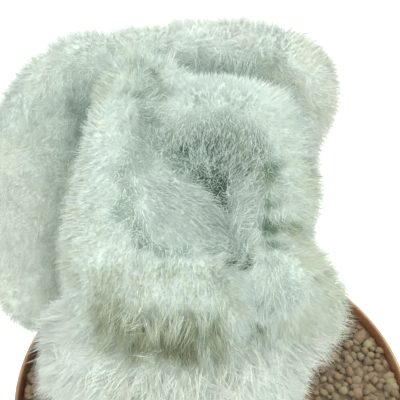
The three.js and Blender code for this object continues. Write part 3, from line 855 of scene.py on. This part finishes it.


# Strokes of the comb over the fans' own lie. A row holds a place in mm, how far the stroke
# reaches in mm, and in hundredths: the way the hair is laid, how flat it lies (0 upright,
# 100 flat), its length (of HAIR_LENGTH), how thickly it stands, its whiteness (100 white;
# lower values paint shade into the hair and bare the dark skin under it), its warmth
# (0 bluish, 100 cream), how far it gathers in locks and how far the tufts part, so that the
# skin shows between them. The plain lie holds the last seven by themselves.
PLAIN_LIE = (40, 80, 110, 60, 35, 25, 8)
STROKES = [
    # The smooth cap over the hollow.
    (-13, 12, 223, 6, -40, 60, 60, 85, 50, 220, 35, 5, 0, 0),
    (-6, 11, 225, 7, 0, 70, 60, 85, 50, 220, 36, 5, 0, 0),
    (2, 10, 225, 7, 30, 60, 60, 85, 50, 220, 39, 10, 0, 0),
    (-11, 9, 223, 3, 0, -40, 80, 40, 50, 240, 37, 5, 0, 0),
    (-4, 8, 224, 3, 0, -40, 80, 40, 50, 240, 39, 5, 0, 0),
    (3, 8, 224, 3, 10, -40, 80, 40, 50, 240, 41, 10, 0, 0),
    (-10, 7, 222, 4, 0, -60, -40, 75, 54, 160, 31, 5, 10, 10),
    (0, 6, 223, 4, 0, -60, -40, 75, 54, 160, 33, 10, 10, 10),
    # Thin bristles in the hollow, darkened with painted shade, with olive ones on its right and bare
    # gaps at its foot.
    (-12, 4, 218, 4, -10, -60, -60, 35, 80, 90, 63, 5, 15, 37),
    (-4, 4, 219, 4.5, 0, -60, -60, 35, 80, 85, 60, 5, 15, 47),
    (2, 3, 218, 4, 10, -60, -60, 35, 80, 85, 63, 35, 15, 43),
    (-15, 4, 213, 4, 20, -60, -50, 40, 90, 80, 57, 10, 20, 47),
    (-8, 3, 213, 5, 10, -60, -60, 40, 100, 75, 55, 5, 15, 64),
    (0, 2, 214, 4.5, 0, -50, -80, 40, 100, 75, 53, 35, 15, 64),
    (6, 0, 214, 4, 20, -50, -80, 40, 100, 80, 53, 35, 20, 59),
    (-12, 2, 209, 4, 30, -60, -50, 40, 100, 75, 53, 10, 15, 64),
    (-4, 2, 208, 4.5, 10, -60, -70, 40, 100, 70, 51, 10, 15, 69),
    (3, 0, 208, 4, 0, -50, -80, 50, 110, 75, 53, 30, 20, 64),
    (-16, 0, 208, 3, 50, -50, -30, 40, 90, 70, 45, 35, 20, 53),
    (-9, -2, 205, 3.5, 40, -60, -40, 50, 90, 60, 47, 5, 15, 74),
    (-4, -3, 203, 3.5, 30, -60, -50, 40, 80, 42, 43, 5, 15, 90),
    (-2, -6, 200, 3, 30, -60, -50, 40, 80, 46, 43, 5, 15, 90),
    (-13, 2, 211, 1.6, 30, -60, -50, 40, 80, 35, 39, 5, 15, 90),
    (-5, 3, 212, 1.6, 30, -60, -50, 40, 80, 35, 39, 5, 15, 90),
    # Combed ribs on the near side of the right roll, and the gaps beside them, dark with painted shade.
    (2, -3, 204, 3.5, 5, -60, -80, 85, 150, 85, 47, 10, 60, 34),
    (3, -9, 200, 4.5, 5, -60, -80, 85, 160, 100, 51, 10, 60, 29),
    (3, -15, 196, 4, 5, -60, -80, 85, 150, 100, 51, 10, 60, 29),
    (7, -12, 200, 3.5, 10, -60, -80, 80, 140, 95, 51, 15, 60, 34),
    (6, -6, 206, 3, 20, -60, -70, 60, 110, 75, 39, 30, 40, 47),
    (10, -5, 210, 3.5, 50, -50, -40, 50, 100, 60, 32, 60, 40, 66),
    (9, -10, 203, 2.1, 30, -50, -70, 50, 60, 22, 8, 30, 30, 81),
    (9, -13, 199, 2.1, 30, -50, -70, 50, 60, 22, 8, 30, 30, 81),
    (13, -9, 206, 3.5, 80, -30, -20, 60, 110, 90, 39, 60, 40, 29),
    (12, -13, 198, 2, 100, -20, -10, 70, 120, 55, 26, 60, 40, 66),
    (17, -12, 197, 2, 100, -20, -10, 70, 120, 60, 21, 60, 40, 57),
    (17, -9, 201, 4, 100, -10, -5, 70, 130, 100, 41, 60, 50, 19),
    # The tongue, smooth and flat, and the band of small gaps that bounds it, darkened in places with
    # painted shade.
    (-22, -9, 205, 5, 100, -30, -25, 90, 90, 160, 32, 0, 10, 0),
    (-16, -11, 204, 6, 100, -35, -30, 88, 90, 190, 33, 0, 10, 0),
    (-10, -12, 202, 6, 100, -40, -35, 90, 90, 200, 30, 0, 10, 0),
    (-5, -12, 199, 4, 90, -45, -40, 90, 90, 190, 28, 0, 10, 0),
    (-18, -16, 200, 5, 80, -50, -35, 85, 90, 150, 30, 0, 10, 5),
    (-9, -16, 199, 5, 90, -45, -30, 88, 90, 150, 29, 5, 15, 5),
    (-29, -5, 208, 3, -60, -50, -40, 50, 80, 77, 53, 10, 50, 45),
    (-27, -9, 205, 3, -60, -50, -40, 50, 80, 77, 51, 10, 50, 51),
    (-28, -13, 202, 3, -70, -60, -40, 50, 80, 77, 51, 10, 50, 51),
    (-25, -17, 200, 3, -60, -60, -40, 50, 80, 77, 51, 10, 50, 51),
    (-22, -21, 198, 2.5, -30, -70, -50, 50, 80, 72, 48, 10, 50, 55),
    (-17, -23, 196, 2.5, 0, -70, -50, 50, 80, 72, 48, 10, 50, 55),
    (-11, -23, 196, 2.5, 20, -70, -50, 50, 80, 77, 50, 10, 50, 51),
    (-5, -20, 195, 2.5, 50, -60, -40, 50, 80, 77, 48, 10, 50, 55),
    (1, -18, 194, 2.5, 30, -70, -50, 50, 80, 77, 48, 10, 50, 51),
    (1, -22, 192, 1.6, 10, -70, -60, 50, 80, 40, 24, 60, 30, 77),
    (5, -23, 193, 1.2, 10, -70, -60, 50, 80, 45, 24, 30, 30, 77),
    (10, -18, 196, 2, 40, -60, -50, 50, 90, 60, 37, 20, 40, 59),
    (14, -19, 196, 2, 80, -40, -30, 50, 90, 65, 40, 30, 40, 54),
    (12, -24, 194, 4, 40, -60, -60, 70, 110, 100, 55, 30, 50, 31),
    (14, -28, 188, 4, 40, -60, -70, 70, 110, 100, 51, 35, 50, 31),
    (9, -28, 184, 4, 20, -60, -80, 75, 120, 95, 51, 30, 60, 31),
    # The left roll: flat and smooth on the outside, ruffled where it meets the hollow, with painted
    # shade on its top and on that inner slope.
    (-34, 13, 221, 6, -50, 70, 30, 88, 60, 140, 31, 50, 10, 0),
    (-38, 8, 214, 8, -50, 70, 30, 88, 60, 160, 51, 50, 10, 0),
    (-35, -3, 209, 7, -90, -30, -20, 82, 68, 160, 55, 25, 10, 0),
    (-40, -10, 201, 9, -100, -30, -20, 65, 72, 160, 57, 50, 10, 0),
    (-40, -20, 195, 8, -100, -40, -30, 65, 72, 160, 57, 50, 10, 0),
    (-26, 20, 226, 6, 20, 60, 30, 90, 100, 110, 25, 30, 60, 30),
    (-29, 12, 222, 3, 0, -40, 80, 50, 60, 130, 24, 30, 30, 15),
    (-24, 16, 223, 4, 60, -30, -10, 80, 80, 95, 33, 30, 60, 42),
    (-22, 18, 225, 1.6, 50, -50, 10, 50, 80, 75, 40, 40, 40, 66),
    (-26, 12, 220, 1.6, 50, -60, 0, 50, 80, 75, 40, 20, 40, 66),
    (-21, 13, 221, 3, 50, -50, 0, 50, 85, 85, 30, 30, 60, 42),
    (-24, 8, 217, 4, 60, -60, -30, 50, 85, 85, 37, 15, 45, 48),
    (-24, 3, 213, 4, 60, -60, -30, 50, 85, 80, 41, 10, 40, 42),
    (-26, -2, 209, 4, 40, -60, -40, 50, 85, 85, 43, 10, 40, 39),
    (-19, 3, 211, 3, 70, -50, -30, 50, 85, 80, 36, 20, 30, 47),
    (-30, 6, 218, 3.5, -20, -50, 0, 50, 75, 110, 43, 15, 35, 19),
    (-30, -1, 211, 3.5, -30, -50, -20, 50, 75, 110, 46, 10, 30, 25),
    # The right roll and the shoulder over it.
    (10, 8, 222, 7, 75, 10, 50, 78, 95, 160, 52, 40, 10, 0),
    (14, 1, 216, 6, 80, -20, 20, 78, 95, 130, 50, 50, 15, 0),
    (17, -4, 209, 5, 100, -10, -10, 65, 90, 120, 42, 75, 25, 5),
    (21, -5, 204, 6, 100, 0, -10, 65, 90, 130, 44, 90, 20, 0),
    (18, -18, 194, 5, 100, -20, -20, 65, 95, 120, 40, 100, 25, 5),
    (24, -20, 188, 7, 100, -20, -30, 65, 95, 140, 47, 100, 20, 0),
    (29, -21, 170, 5, 100, -10, -20, 75, 150, 130, 75, 60, 40, 0),
    (28, -22, 180, 7, 100, -10, -20, 65, 110, 140, 52, 100, 30, 0),
    (18, -28, 178, 5, 50, -40, -80, 65, 100, 120, 44, 100, 40, 10),
    # The lower roll, the shaded fold under it with long hanging hair in dark olive painted shade, and
    # the skirt.
    (-30, -30, 190, 6, -30, -70, -60, 85, 72, 150, 27, 85, 15, 0),
    (-22, -30, 193, 7, -10, -70, -60, 85, 72, 160, 31, 65, 10, 0),
    (-14, -31, 194, 7, 0, -70, -70, 85, 72, 160, 31, 55, 10, 0),
    (-6, -31, 194, 6, 0, -70, -70, 85, 72, 150, 29, 50, 15, 5),
    (0, -31, 192, 4, 10, -70, -70, 40, 77, 120, 31, 60, 30, 20),
    (-40, -22, 190, 6, -80, -60, -40, 65, 72, 150, 47, 85, 15, 0),
    (-28, -33, 185, 4, -10, -50, -100, 75, 130, 90, 30, 90, 70, 45),
    (-20, -36, 186, 4, 0, -50, -100, 75, 130, 90, 28, 90, 70, 45),
    (-12, -36, 187, 4, 0, -50, -100, 75, 130, 90, 30, 90, 70, 45),
    (-5, -36, 187, 4, 10, -50, -100, 75, 130, 90, 34, 80, 70, 45),
    (-30, -31, 178, 4.5, -10, -50, -100, 75, 150, 80, 18, 100, 80, 62),
    (-22, -35, 180, 4.5, 0, -50, -100, 75, 150, 80, 13, 100, 80, 62),
    (-14, -36, 181, 4.5, 0, -50, -100, 75, 150, 80, 13, 100, 80, 62),
    (-6, -36, 181, 4.5, 10, -50, -100, 75, 150, 85, 22, 98, 80, 56),
    (-28, -33, 171, 4, -20, -50, -100, 75, 160, 100, 32, 78, 80, 45),
    (-20, -35, 173, 4, -10, -50, -100, 75, 160, 90, 24, 98, 80, 56),
    (-11, -35, 174, 4, 0, -50, -100, 75, 160, 90, 24, 98, 80, 56),
    (-3, -35, 174, 4, 10, -50, -100, 75, 160, 100, 37, 78, 80, 45),
    (3, -30, 176, 2, 0, -50, -100, 70, 100, 40, 9, 95, 50, 90),
    (-2, -35, 170, 2, 0, -50, -100, 70, 130, 50, 23, 107, 60, 75),
    (8, -27, 174, 2.5, 10, -50, -100, 70, 130, 60, 32, 80, 60, 67),
    (-38, -33, 166, 6, -60, -50, -60, 55, 125, 140, 100, 40, 45, 5),
    (-45, -24, 167, 7, -90, -30, -30, 55, 125, 150, 100, 40, 45, 0),
    (-45, -29, 148, 7, -100, -30, -40, 60, 190, 140, 100, 40, 45, 0),
    (-42, -32, 156, 7, -80, -40, -50, 55, 170, 140, 100, 40, 50, 0),
    (-27, -38, 165, 6, -50, -40, -90, 80, 207, 95, 83, 74, 90, 25),
    (-17, -39, 166, 6, -15, -40, -100, 80, 207, 95, 84, 74, 90, 25),
    (-7, -39, 167, 6, 10, -40, -100, 80, 207, 95, 84, 74, 90, 25),
    (3, -37, 167, 6, 25, -40, -100, 80, 207, 100, 88, 74, 90, 20),
    (-25, -40, 157, 6, -40, -40, -90, 80, 207, 110, 88, 64, 80, 15),
    (-12, -41, 158, 6, -5, -40, -100, 80, 207, 110, 88, 64, 80, 15),
    (1, -40, 158, 6, 30, -40, -100, 80, 207, 110, 92, 64, 80, 10),
    (14, -34, 165, 6, 40, -40, -80, 60, 120, 130, 85, 55, 50, 10),
    (23, -28, 168, 7, 90, -30, -40, 60, 150, 130, 89, 60, 45, 0),
    # The back wing: ruffled on top, with painted shade where it faces the front folds, pale at its edge.
    (-53, 44, 220, 6, -60, 0, 90, 60, 130, 130, 75, 30, 40, 5),
    (-46, 43, 219, 7, -40, -40, 20, 60, 85, 120, 80, 20, 60, 22),
    (-56, 38, 213, 7, -60, -50, -30, 60, 85, 110, 72, 57, 60, 22),
    (-50, 37, 213, 4, -50, -50, -50, 60, 85, 100, 48, 60, 40, 34),
    (-46, 35, 207, 4, -50, -60, -60, 60, 80, 80, 42, 5, 30, 35),
    (-47, 34, 202, 5, -60, -50, -60, 60, 80, 70, 23, 5, 30, 42),
    (-48, 32, 196, 5, -80, -40, -40, 60, 80, 70, 25, 5, 30, 42),
    (-50, 30, 190, 5, -90, -30, -30, 60, 80, 80, 38, 20, 40, 35),
    (-57, 33, 200, 6, -80, -40, -40, 60, 80, 100, 68, 37, 60, 22),
    (-60, 29, 190, 7, -100, -30, -20, 60, 80, 110, 74, 47, 60, 22),
    (-52, 28, 184, 3.5, -100, -30, -30, 60, 85, 80, 47, 82, 60, 36),
    (-58, 28, 184, 3, -100, -30, -30, 60, 85, 90, 53, 72, 60, 28),
    (-54, 25, 177, 5, -100, -30, -40, 60, 85, 85, 48, 92, 60, 32),
    (-55, 22, 169, 5, -90, -30, -50, 60, 85, 85, 51, 92, 60, 32),
    (-56, 19, 161, 5, -90, -30, -50, 60, 85, 85, 54, 92, 60, 32),
    (-56, 15, 153, 5, -80, -30, -50, 60, 85, 85, 48, 102, 60, 32),
    (-68, 9, 142, 8, -100, -20, -40, 60, 85, 130, 97, 90, 30, 0),
    (-61, 6, 136, 5, -50, -30, -90, 60, 90, 120, 81, 90, 40, 5),
    (-57, 11, 146, 6, -80, -30, -60, 60, 85, 90, 55, 92, 50, 35),
    (-68, 27, 185, 8, -100, -20, 0, 60, 85, 120, 90, 95, 30, 5),
    (-66, 20, 170, 9, -100, -20, -10, 60, 85, 130, 90, 95, 30, 5),
    (-67, 12, 152, 9, -100, -20, -30, 60, 85, 130, 92, 95, 30, 5),
    (-35, 42, 220, 6, 20, -40, 30, 60, 85, 120, 86, 40, 60, 22),
    (-22, 41, 222, 5, 80, -50, -20, 88, 130, 100, 97, 20, 75, 24),
    (-12, 40, 222, 5, 80, -50, -20, 88, 130, 100, 97, 15, 75, 24),
    (-2, 40, 223, 5, 80, -50, -20, 88, 130, 100, 97, 15, 75, 24),
    (-14, 45, 225, 6, 20, 0, 100, 60, 80, 130, 90, 30, 40, 0),
    (2, 44, 226, 6, 10, 0, 100, 60, 80, 140, 90, 30, 40, 0),
    (-14, 37, 215, 4, 10, -50, -90, 75, 120, 85, 68, 20, 80, 34),
    (-4, 36, 216, 4, 0, -50, -90, 75, 120, 85, 63, 15, 80, 37),
    (5, 35, 217, 4, 10, -50, -90, 75, 120, 90, 73, 30, 80, 34),
    (12, 36, 220, 5, 70, -50, -40, 80, 130, 100, 80, 70, 85, 28),
    (14, 33, 215, 5, 70, -50, -40, 80, 130, 100, 80, 85, 85, 28),
    (23, 30, 209, 5, 50, -50, -60, 60, 90, 100, 68, 90, 40, 20),
    (22, 38, 221, 7, 60, -20, 50, 60, 85, 140, 98, 90, 20, 0),
    (30, 36, 212, 7, 100, -20, 10, 60, 85, 140, 100, 90, 10, 0),
    (30, 35, 203, 6, 100, -30, -20, 60, 85, 120, 96, 90, 20, 5),
]
# Broad strokes from outside: plain white wool on the back and the right of the plant.
STROKES += [(*place, 26, *way, 50, 100, 120, 100, 60, 60, 5) for place, way in (
    ((-70, 42, 140), (-30, 20, -100)), ((-72, 57, 175), (-30, 30, -100)),
    ((-48, 70, 195), (0, 30, -100)), ((-18, 72, 200), (0, 30, -100)),
    ((12, 70, 198), (10, 30, -100)), ((-45, 55, 160), (0, 20, -100)),
    ((-12, 60, 160), (0, 20, -100)), ((18, 55, 165), (10, 20, -100)),
    ((-30, 50, 125), (0, 20, -100)), ((5, 45, 125), (10, 20, -100)),
    ((42, 10, 150), (20, 0, -100)), ((42, -22, 135), (20, 0, -100)))]


PRESS = 48
WAVER = 0.9 * MM
WAVER_PITCH = 1.3 * MM


def brushed(places, normals, way):
    """Lays the strokes of the comb over the fans' own lie. A stroke's weight falls off as a
    bell, its edge wavers, and a small stroke presses harder. Gives the way at each place, and
    a column for each of the seven other measures."""
    total = np.ones(len(places))
    laid = way.copy()
    measures = np.tile(np.array(PLAIN_LIE) / 100, (len(places), 1))
    wavering = places + WAVER * np.sin(places[:, [1, 2, 0]] / WAVER_PITCH)
    for x, y, z, reach, *hundredths in STROKES:
        run, marks = np.split(np.array(hundredths) / 100, [3])
        away = np.linalg.norm(wavering - np.array([x, y, z]) * MM, axis=1) / (reach * MM)
        weight = PRESS / reach * np.exp(-2 * away ** 2)
        total += weight
        laid += unit(run) * weight[:, None]
        measures += marks * weight[:, None]
    laid -= normals * np.minimum((laid * normals).sum(1), 0)[:, None]
    return unit(laid), measures / total[:, None]


# Primes that scatter neighbouring cubes over a table of places, and the steps that make one
# number of a cube's three.
JITTER_PLACES = 4093
CUBE_SCATTER = (73, 1871, 20011)
CUBE_NUMBER = (1, 1000, 1000000)


def areoles(points, pitch, rng):
    """Numbers the tufts that the points belong to. Space is parted in cubes of the pitch,
    each with one centre anywhere in it, and a point goes to the nearest centre."""
    jitter = rng.random((JITTER_PLACES, 3))
    cube = np.floor(points / pitch).astype(int)
    closest = np.full(len(points), np.inf)
    owner = np.zeros_like(cube)
    for step in np.ndindex(3, 3, 3):
        near = cube + np.array(step) - 1
        centre = near + jitter[near @ np.array(CUBE_SCATTER) % JITTER_PLACES]
        away = ((centre * pitch - points) ** 2).sum(1)
        closer = away < closest
        closest[closer] = away[closer]
        owner[closer] = near[closer]
    return np.unique(owner @ np.array(CUBE_NUMBER), return_inverse=True)[1].ravel()


def within(outer, inner):
    """Numbers the pairs of an outer and an inner number."""
    return np.unique(outer * (inner.max() + 1) + inner, return_inverse=True)[1].ravel()


def tuft_mean(values, tuft):
    """The mean of the values in each tuft, handed back to each of its members."""
    members = np.bincount(tuft)
    return np.stack([np.bincount(tuft, values[:, k]) / members for k in range(3)], -1)[tuft]


# How far the hairs of a swirl, of a lock in it and of a tuft do the same, and how far each
# goes its own way. A share that ends in GATHERED, PARTED or FLAT counts as far as the hair
# gathers in locks, parts in tufts or lies flat there.
ROOT_DEPTH = 0.4 * MM
LENGTH_SPREAD = (0.72, 1.12)
WIDTH_SPREAD = (0.75, 1.25)
LOCK_LONGER = 0.15
SWIRL_LONGER = 0.08
UNDER_COUNT = 0.6
UNDER_LENGTH = 0.62
DRAWN_LONG = (0.6, 0.7)
ROOT_GATHER = 0.9
LOOSE = 0.2
LOOSE_FLAT = 0.6
LOOSE_PARTED = 0.36
LOOSE_LIE = 0.8
RISE_SHARE = 0.42
LIE_SHARE = 0.62
RISE_FLAT = 0.4
LIE_FLAT = 1.15
RISE_SPLAY = 0.8
LIE_SPLAY = 1.6
LOCK_TURN = 0.78
LOCK_CURL = 0.5
LOCK_CLOSE = 0.92
LOCK_CLOSE_PARTED = 0.5
SWIRL_TURN = 0.02
SWIRL_TURN_GATHERED = 0.5
TINT_SPREAD = 0.018
LOCK_TINT = 0.18
SWIRL_TINT = 0.01
SWIRL_TINT_GATHERED = 0.09
CREAM_SHARES = (0.65, 0.35)
THIN_PARTED = 0.45
THICK_STAND = 0.15
TINT_LIMITS = (0.03, 0.97)
TONE_START = 0.02
TONE_SPAN = 0.46
CREAM_START = 0.5


def without(vectors, way, share):
    """The vectors with a share of their run along the way taken out."""
    return vectors - share * way * (vectors * way).sum(1)[:, None]


def grow(count, share, skin, field, rng):
    """Roots, middles and tips of hairs drawn evenly by area over the skin, thinned by how
    thickly they stand at each place, with each hair's own tone and the skin's normal. Where
    they stand thin, they spring from separate tufts and splay out of them. The tone is its
    place on the chart: the whites fill the lower half and the creams the upper half, and its
    low end in each half is painted shade taken from the strokes' whiteness."""
    places, normals, corners = skin
    way, measures = field
    a, b, c = (places[corners[:, k]] for k in range(3))
    area = np.linalg.norm(np.cross(b - a, c - a), axis=1)
    wanted = area * measures[:, 2][corners].mean(1) * (a[:, 2] > STEM_BOTTOM + MM)
    pick = rng.choice(len(corners), count, p=wanted / wanted.sum())
    first, second = rng.random((2, count))
    flip = first + second > 1
    first[flip], second[flip] = 1 - first[flip], 1 - second[flip]
    shares = np.stack([1 - first - second, first, second], -1)[..., None]
    corner = corners[pick]
    root = (places[corner] * shares).sum(1)
    normal = unit((normals[corner] * shares).sum(1))
    way = unit((way[corner] * shares).sum(1))
    lay, length, stand, tone, warm, gather, part = (measures[corner] * shares).sum(1).T
    flat, gathered, parted = lay[:, None], gather[:, None], part[:, None]
    swirl = areoles(root, SWIRL_PITCH, rng)
    run = unit(tuft_mean(way, swirl))
    drawn = without(root - tuft_mean(root, swirl), run, DRAWN_LONG[0])
    tuft, lock = (within(swirl, areoles(drawn, pitch, rng)) for pitch in (TUFT_PITCH, LOCK_PITCH))
    lock_way = rng.normal(size=(lock.max() + 1, 3))[lock]
    lock_tone, lock_long = rng.normal(size=(2, lock.max() + 1))[:, lock]
    swirl_way = rng.normal(size=(swirl.max() + 1, 3))[swirl]
    swirl_tone, swirl_long = rng.normal(size=(2, swirl.max() + 1))[:, swirl]
    spread = without(root - tuft_mean(root, tuft), run, DRAWN_LONG[1]) / TUFT_PITCH
    root -= spread * TUFT_PITCH * ROOT_GATHER * parted
    longer = 1 + LOCK_LONGER * gather * lock_long + SWIRL_LONGER * swirl_long
    under = rng.random(count) < UNDER_COUNT * (1 - gather) * (1 - part)
    long = HAIR_LENGTH * share * length * longer
    long *= rng.uniform(*LENGTH_SPREAD, count) * np.where(under, UNDER_LENGTH, 1.0)
    loose = LOOSE * (1 - LOOSE_FLAT * flat) + LOOSE_PARTED * parted
    rise = unit(normal + RISE_FLAT * way * flat + RISE_SPLAY * parted * spread
                + loose * rng.normal(size=(count, 3)))
    lie = unit(normal * (1 - flat) + way * flat * LIE_FLAT + LOCK_TURN * gathered * lock_way
               + (SWIRL_TURN + SWIRL_TURN_GATHERED * gathered) * swirl_way
               + LIE_SPLAY * parted * spread + loose * LOOSE_LIE * rng.normal(size=(count, 3)))
    curl = LOCK_CURL * gathered * unit(np.cross(lock_way, normal))
    middle = root + (rise + curl) * (RISE_SHARE * long)[:, None]
    tip = middle + lie * (LIE_SHARE * long)[:, None]
    close = LOCK_CLOSE * gathered * (1 - LOCK_CLOSE_PARTED * parted)
    tip += (tuft_mean(tip, lock) - tip) * close
    # The tint follows the strokes' whiteness, which holds painted shade, plus random tone per hair, lock
    # and swirl.
    tint = tone + TINT_SPREAD * rng.normal(size=count) + LOCK_TINT * gather * lock_tone
    tint += (SWIRL_TINT + SWIRL_TINT_GATHERED * gather) * swirl_tone
    own, shared = rng.random(count), rng.random(lock.max() + 1)[lock]
    cream = CREAM_SHARES[0] * own + CREAM_SHARES[1] * shared < warm
    root -= normal * ROOT_DEPTH
    width = HAIR_WIDTH * rng.uniform(*WIDTH_SPREAD, count)
    width *= 1 - THIN_PARTED * part + THICK_STAND * np.clip(stand - 1, 0, 1)
    chart_tone = np.clip(tint, *TINT_LIMITS) * TONE_SPAN + TONE_START + CREAM_START * cream
    return root, middle, tip, chart_tone, normal, width


# The ring of a hair is set off from this way, and the last numbers spread a hair's points on
# the chart, so that none of its triangles is a line there.
RING_WAY = (0.31, 0.77, 0.55)
MIDDLE_WIDTH = 0.45
CHART_HEIGHTS = (0.02, 0.5, 0.98)
CHART_SWAY = 0.006
CHART_TIP = 0.002


def needles(root, middle, tip, tone, normal, width, bent):
    """Slim three-sided hairs. A ring of three points at the root, for a bent hair another at
    the middle, and one point at the tip. Gives points, triangles, normals, chart places."""
    axis = unit(tip - root)
    across = unit(np.cross(axis, np.array(RING_WAY)))
    over = np.cross(axis, across)
    spoke = np.arange(3) * 2 * np.pi / 3
    ring = across[:, None] * np.cos(spoke)[:, None] + over[:, None] * np.sin(spoke)[:, None]
    rings = [root[:, None] + ring * width[:, None, None] / 2]
    if bent:
        rings.append(middle[:, None] + ring * MIDDLE_WIDTH * width[:, None, None])
    points = np.concatenate([*rings, tip[:, None]], 1)
    size = points.shape[1]
    side = [(0, 1), (1, 2), (2, 0)]
    faces = []
    if bent:
        for a, b in side:
            faces += [(a, b, b + 3), (a, b + 3, a + 3)]
    last = size - 4
    faces += [(a + last, b + last, size - 1) for a, b in side]
    faces = np.array(faces)[None] + (np.arange(len(root)) * size)[:, None, None]
    sway = np.tile([-CHART_SWAY, 0.0, CHART_SWAY], len(rings))
    chart = np.zeros((len(root), size, 2))
    chart[..., 0] = tone[:, None] + np.r_[sway, CHART_TIP]
    chart[..., 1] = np.r_[np.repeat(CHART_HEIGHTS[:len(rings)], 3), CHART_HEIGHTS[2]]
    round_way = np.concatenate([np.tile(ring, (1, len(rings), 1)), axis[:, None]], 1)
    shade = unit(normal[:, None] * SOFT_SHADE + round_way * (1 - SOFT_SHADE))
    return points.reshape(-1, 3), faces.reshape(-1, 3), shade.reshape(-1, 3), chart.reshape(-1, 2)


def wool_finish():
    """Across the chart, the lower half of the tones runs from dark grey-green, painted shade, to
    cool white, and the upper half from dark olive, painted shade on cream hair, to cream. Up
    the chart, the hair pales from root to tip: painted shade deep in the coat."""
    material, graph, shader = new_material("white_wool", 0.6)
    chart = graph.add("ShaderNodeUVMap", uv_map="OFBake").outputs["UV"]
    parts = graph.fed("ShaderNodeSeparateXYZ", {"Vector": chart}).outputs
    # The dark ends of both halves are painted shade.
    tone = graph.ramp(parts["X"], [
        (0.0, (0.16, 0.21, 0.16)), (0.12, (0.48, 0.57, 0.50)), (0.25, (0.74, 0.87, 0.83)),
        (0.35, (0.84, 0.93, 0.875)), (0.49, (0.93, 0.985, 0.94)), (0.51, (0.14, 0.15, 0.07)),
        (0.62, (0.42, 0.46, 0.29)), (0.75, (0.74, 0.82, 0.68)), (0.85, (0.85, 0.91, 0.78)),
        (1.0, (0.95, 0.98, 0.88))])
    # Painted shade deep in the coat: darker towards the root.
    depth = graph.ramp(parts["Y"], [
        (0.0, (0.90, 0.93, 0.89)), (0.4, (0.98, 0.99, 0.98)), (1.0, (1, 1, 1))])
    graph.feed(shader.inputs["Base Color"], graph.mix("MULTIPLY", 1.0, tone, depth))
    shader.inputs["Specular IOR Level"].default_value = 0.2
    return material


WOOL = wool_finish()


def make_wool(name, parts):
    """One piece of the coat, from its bent and its straight hairs."""
    points, faces, shades, charts = zip(*(needles(*hairs) for hairs in parts))
    starts = np.cumsum([0, *map(len, points[:-1])])
    faces = [own + start for own, start in zip(faces, starts)]
    wool = put_mesh(name, np.vstack(points), np.vstack(faces))
    lay_chart(wool, np.vstack(charts))
    wool.data.normals_split_custom_set_from_vertices(np.vstack(shades).tolist())
    wool.data.materials.append(WOOL)
    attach(wool, "root")
    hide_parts("cactus")


WOOL_PIECES = ("wool_right", "wool_back", "wool_back_left", "wool_left", "wool_front")
FIRST_TURN = 20
PLANT_MIDDLE = (-14 * MM, 4 * MM)
HAIR_FLOOR = 109.8 * MM
BOX_GAP = 0.4 * MM
BARE_PARTED = 1.5
FELT_TONE = 0.05
FELT_TONE_SPAN = 0.35


def way_round(places):
    """The way round the plant at each place, in degrees from where the first piece starts."""
    x, y = (places[:, :2] - PLANT_MIDDLE).T
    return (np.degrees(np.arctan2(y, x)) + FIRST_TURN) % 360


def make_all_wool(folds, mesh):
    """Grows the bent and the straight hairs, keeps them inside the box of the solids and above
    the gravel, and parts the coat into pieces round the plant with an even share each. The
    skin is marked with how far felt covers it: least where tufts part, and where the strokes'
    whiteness is low, which paints shade there as dark bare skin."""
    rng = np.random.default_rng(7)
    skin = skin_arrays(mesh)
    places, normals, _ = skin
    field = brushed(places, normals, comb_field(folds, places, normals))
    tone, part = field[1][:, 3], field[1][:, 6]
    # Painted shade: low whiteness thins the felt so that the dark skin shows.
    felt = np.clip(1 - BARE_PARTED * part, 0, 1) * np.clip((tone - FELT_TONE) / FELT_TONE_SPAN, 0, 1)
    felt_and_painted_shade = mesh.attributes.new("felt_and_painted_shade", "FLOAT", "POINT")
    felt_and_painted_shade.data.foreach_set("value", felt.astype(np.float32))
    low, high = np.array(cad_low) + BOX_GAP, np.array(cad_high) - BOX_GAP
    low[2] = HAIR_FLOOR
    coats = []
    for count, share, bent in ((BENT_HAIRS, 1.0, True), (STRAIGHT_HAIRS, STRAIGHT_SHARE, False)):
        root, middle, tip, *others = grow(count, share, skin, field, rng)
        coats.append((root, np.clip(middle, low, high), np.clip(tip, low, high), *others, bent))
    turns = [way_round(root) for root, *_ in coats]
    edges = np.quantile(turns[1], np.linspace(0, 1, len(WOOL_PIECES) + 1)[1:-1])
    for k, name in enumerate(WOOL_PIECES):
        parts = []
        for turn, (*arrays, bent) in zip(turns, coats):
            mine = np.searchsorted(edges, turn) == k
            parts.append((*(array[mine] for array in arrays), bent))
        make_wool(name, parts)


make_all_wool(folds, skin)
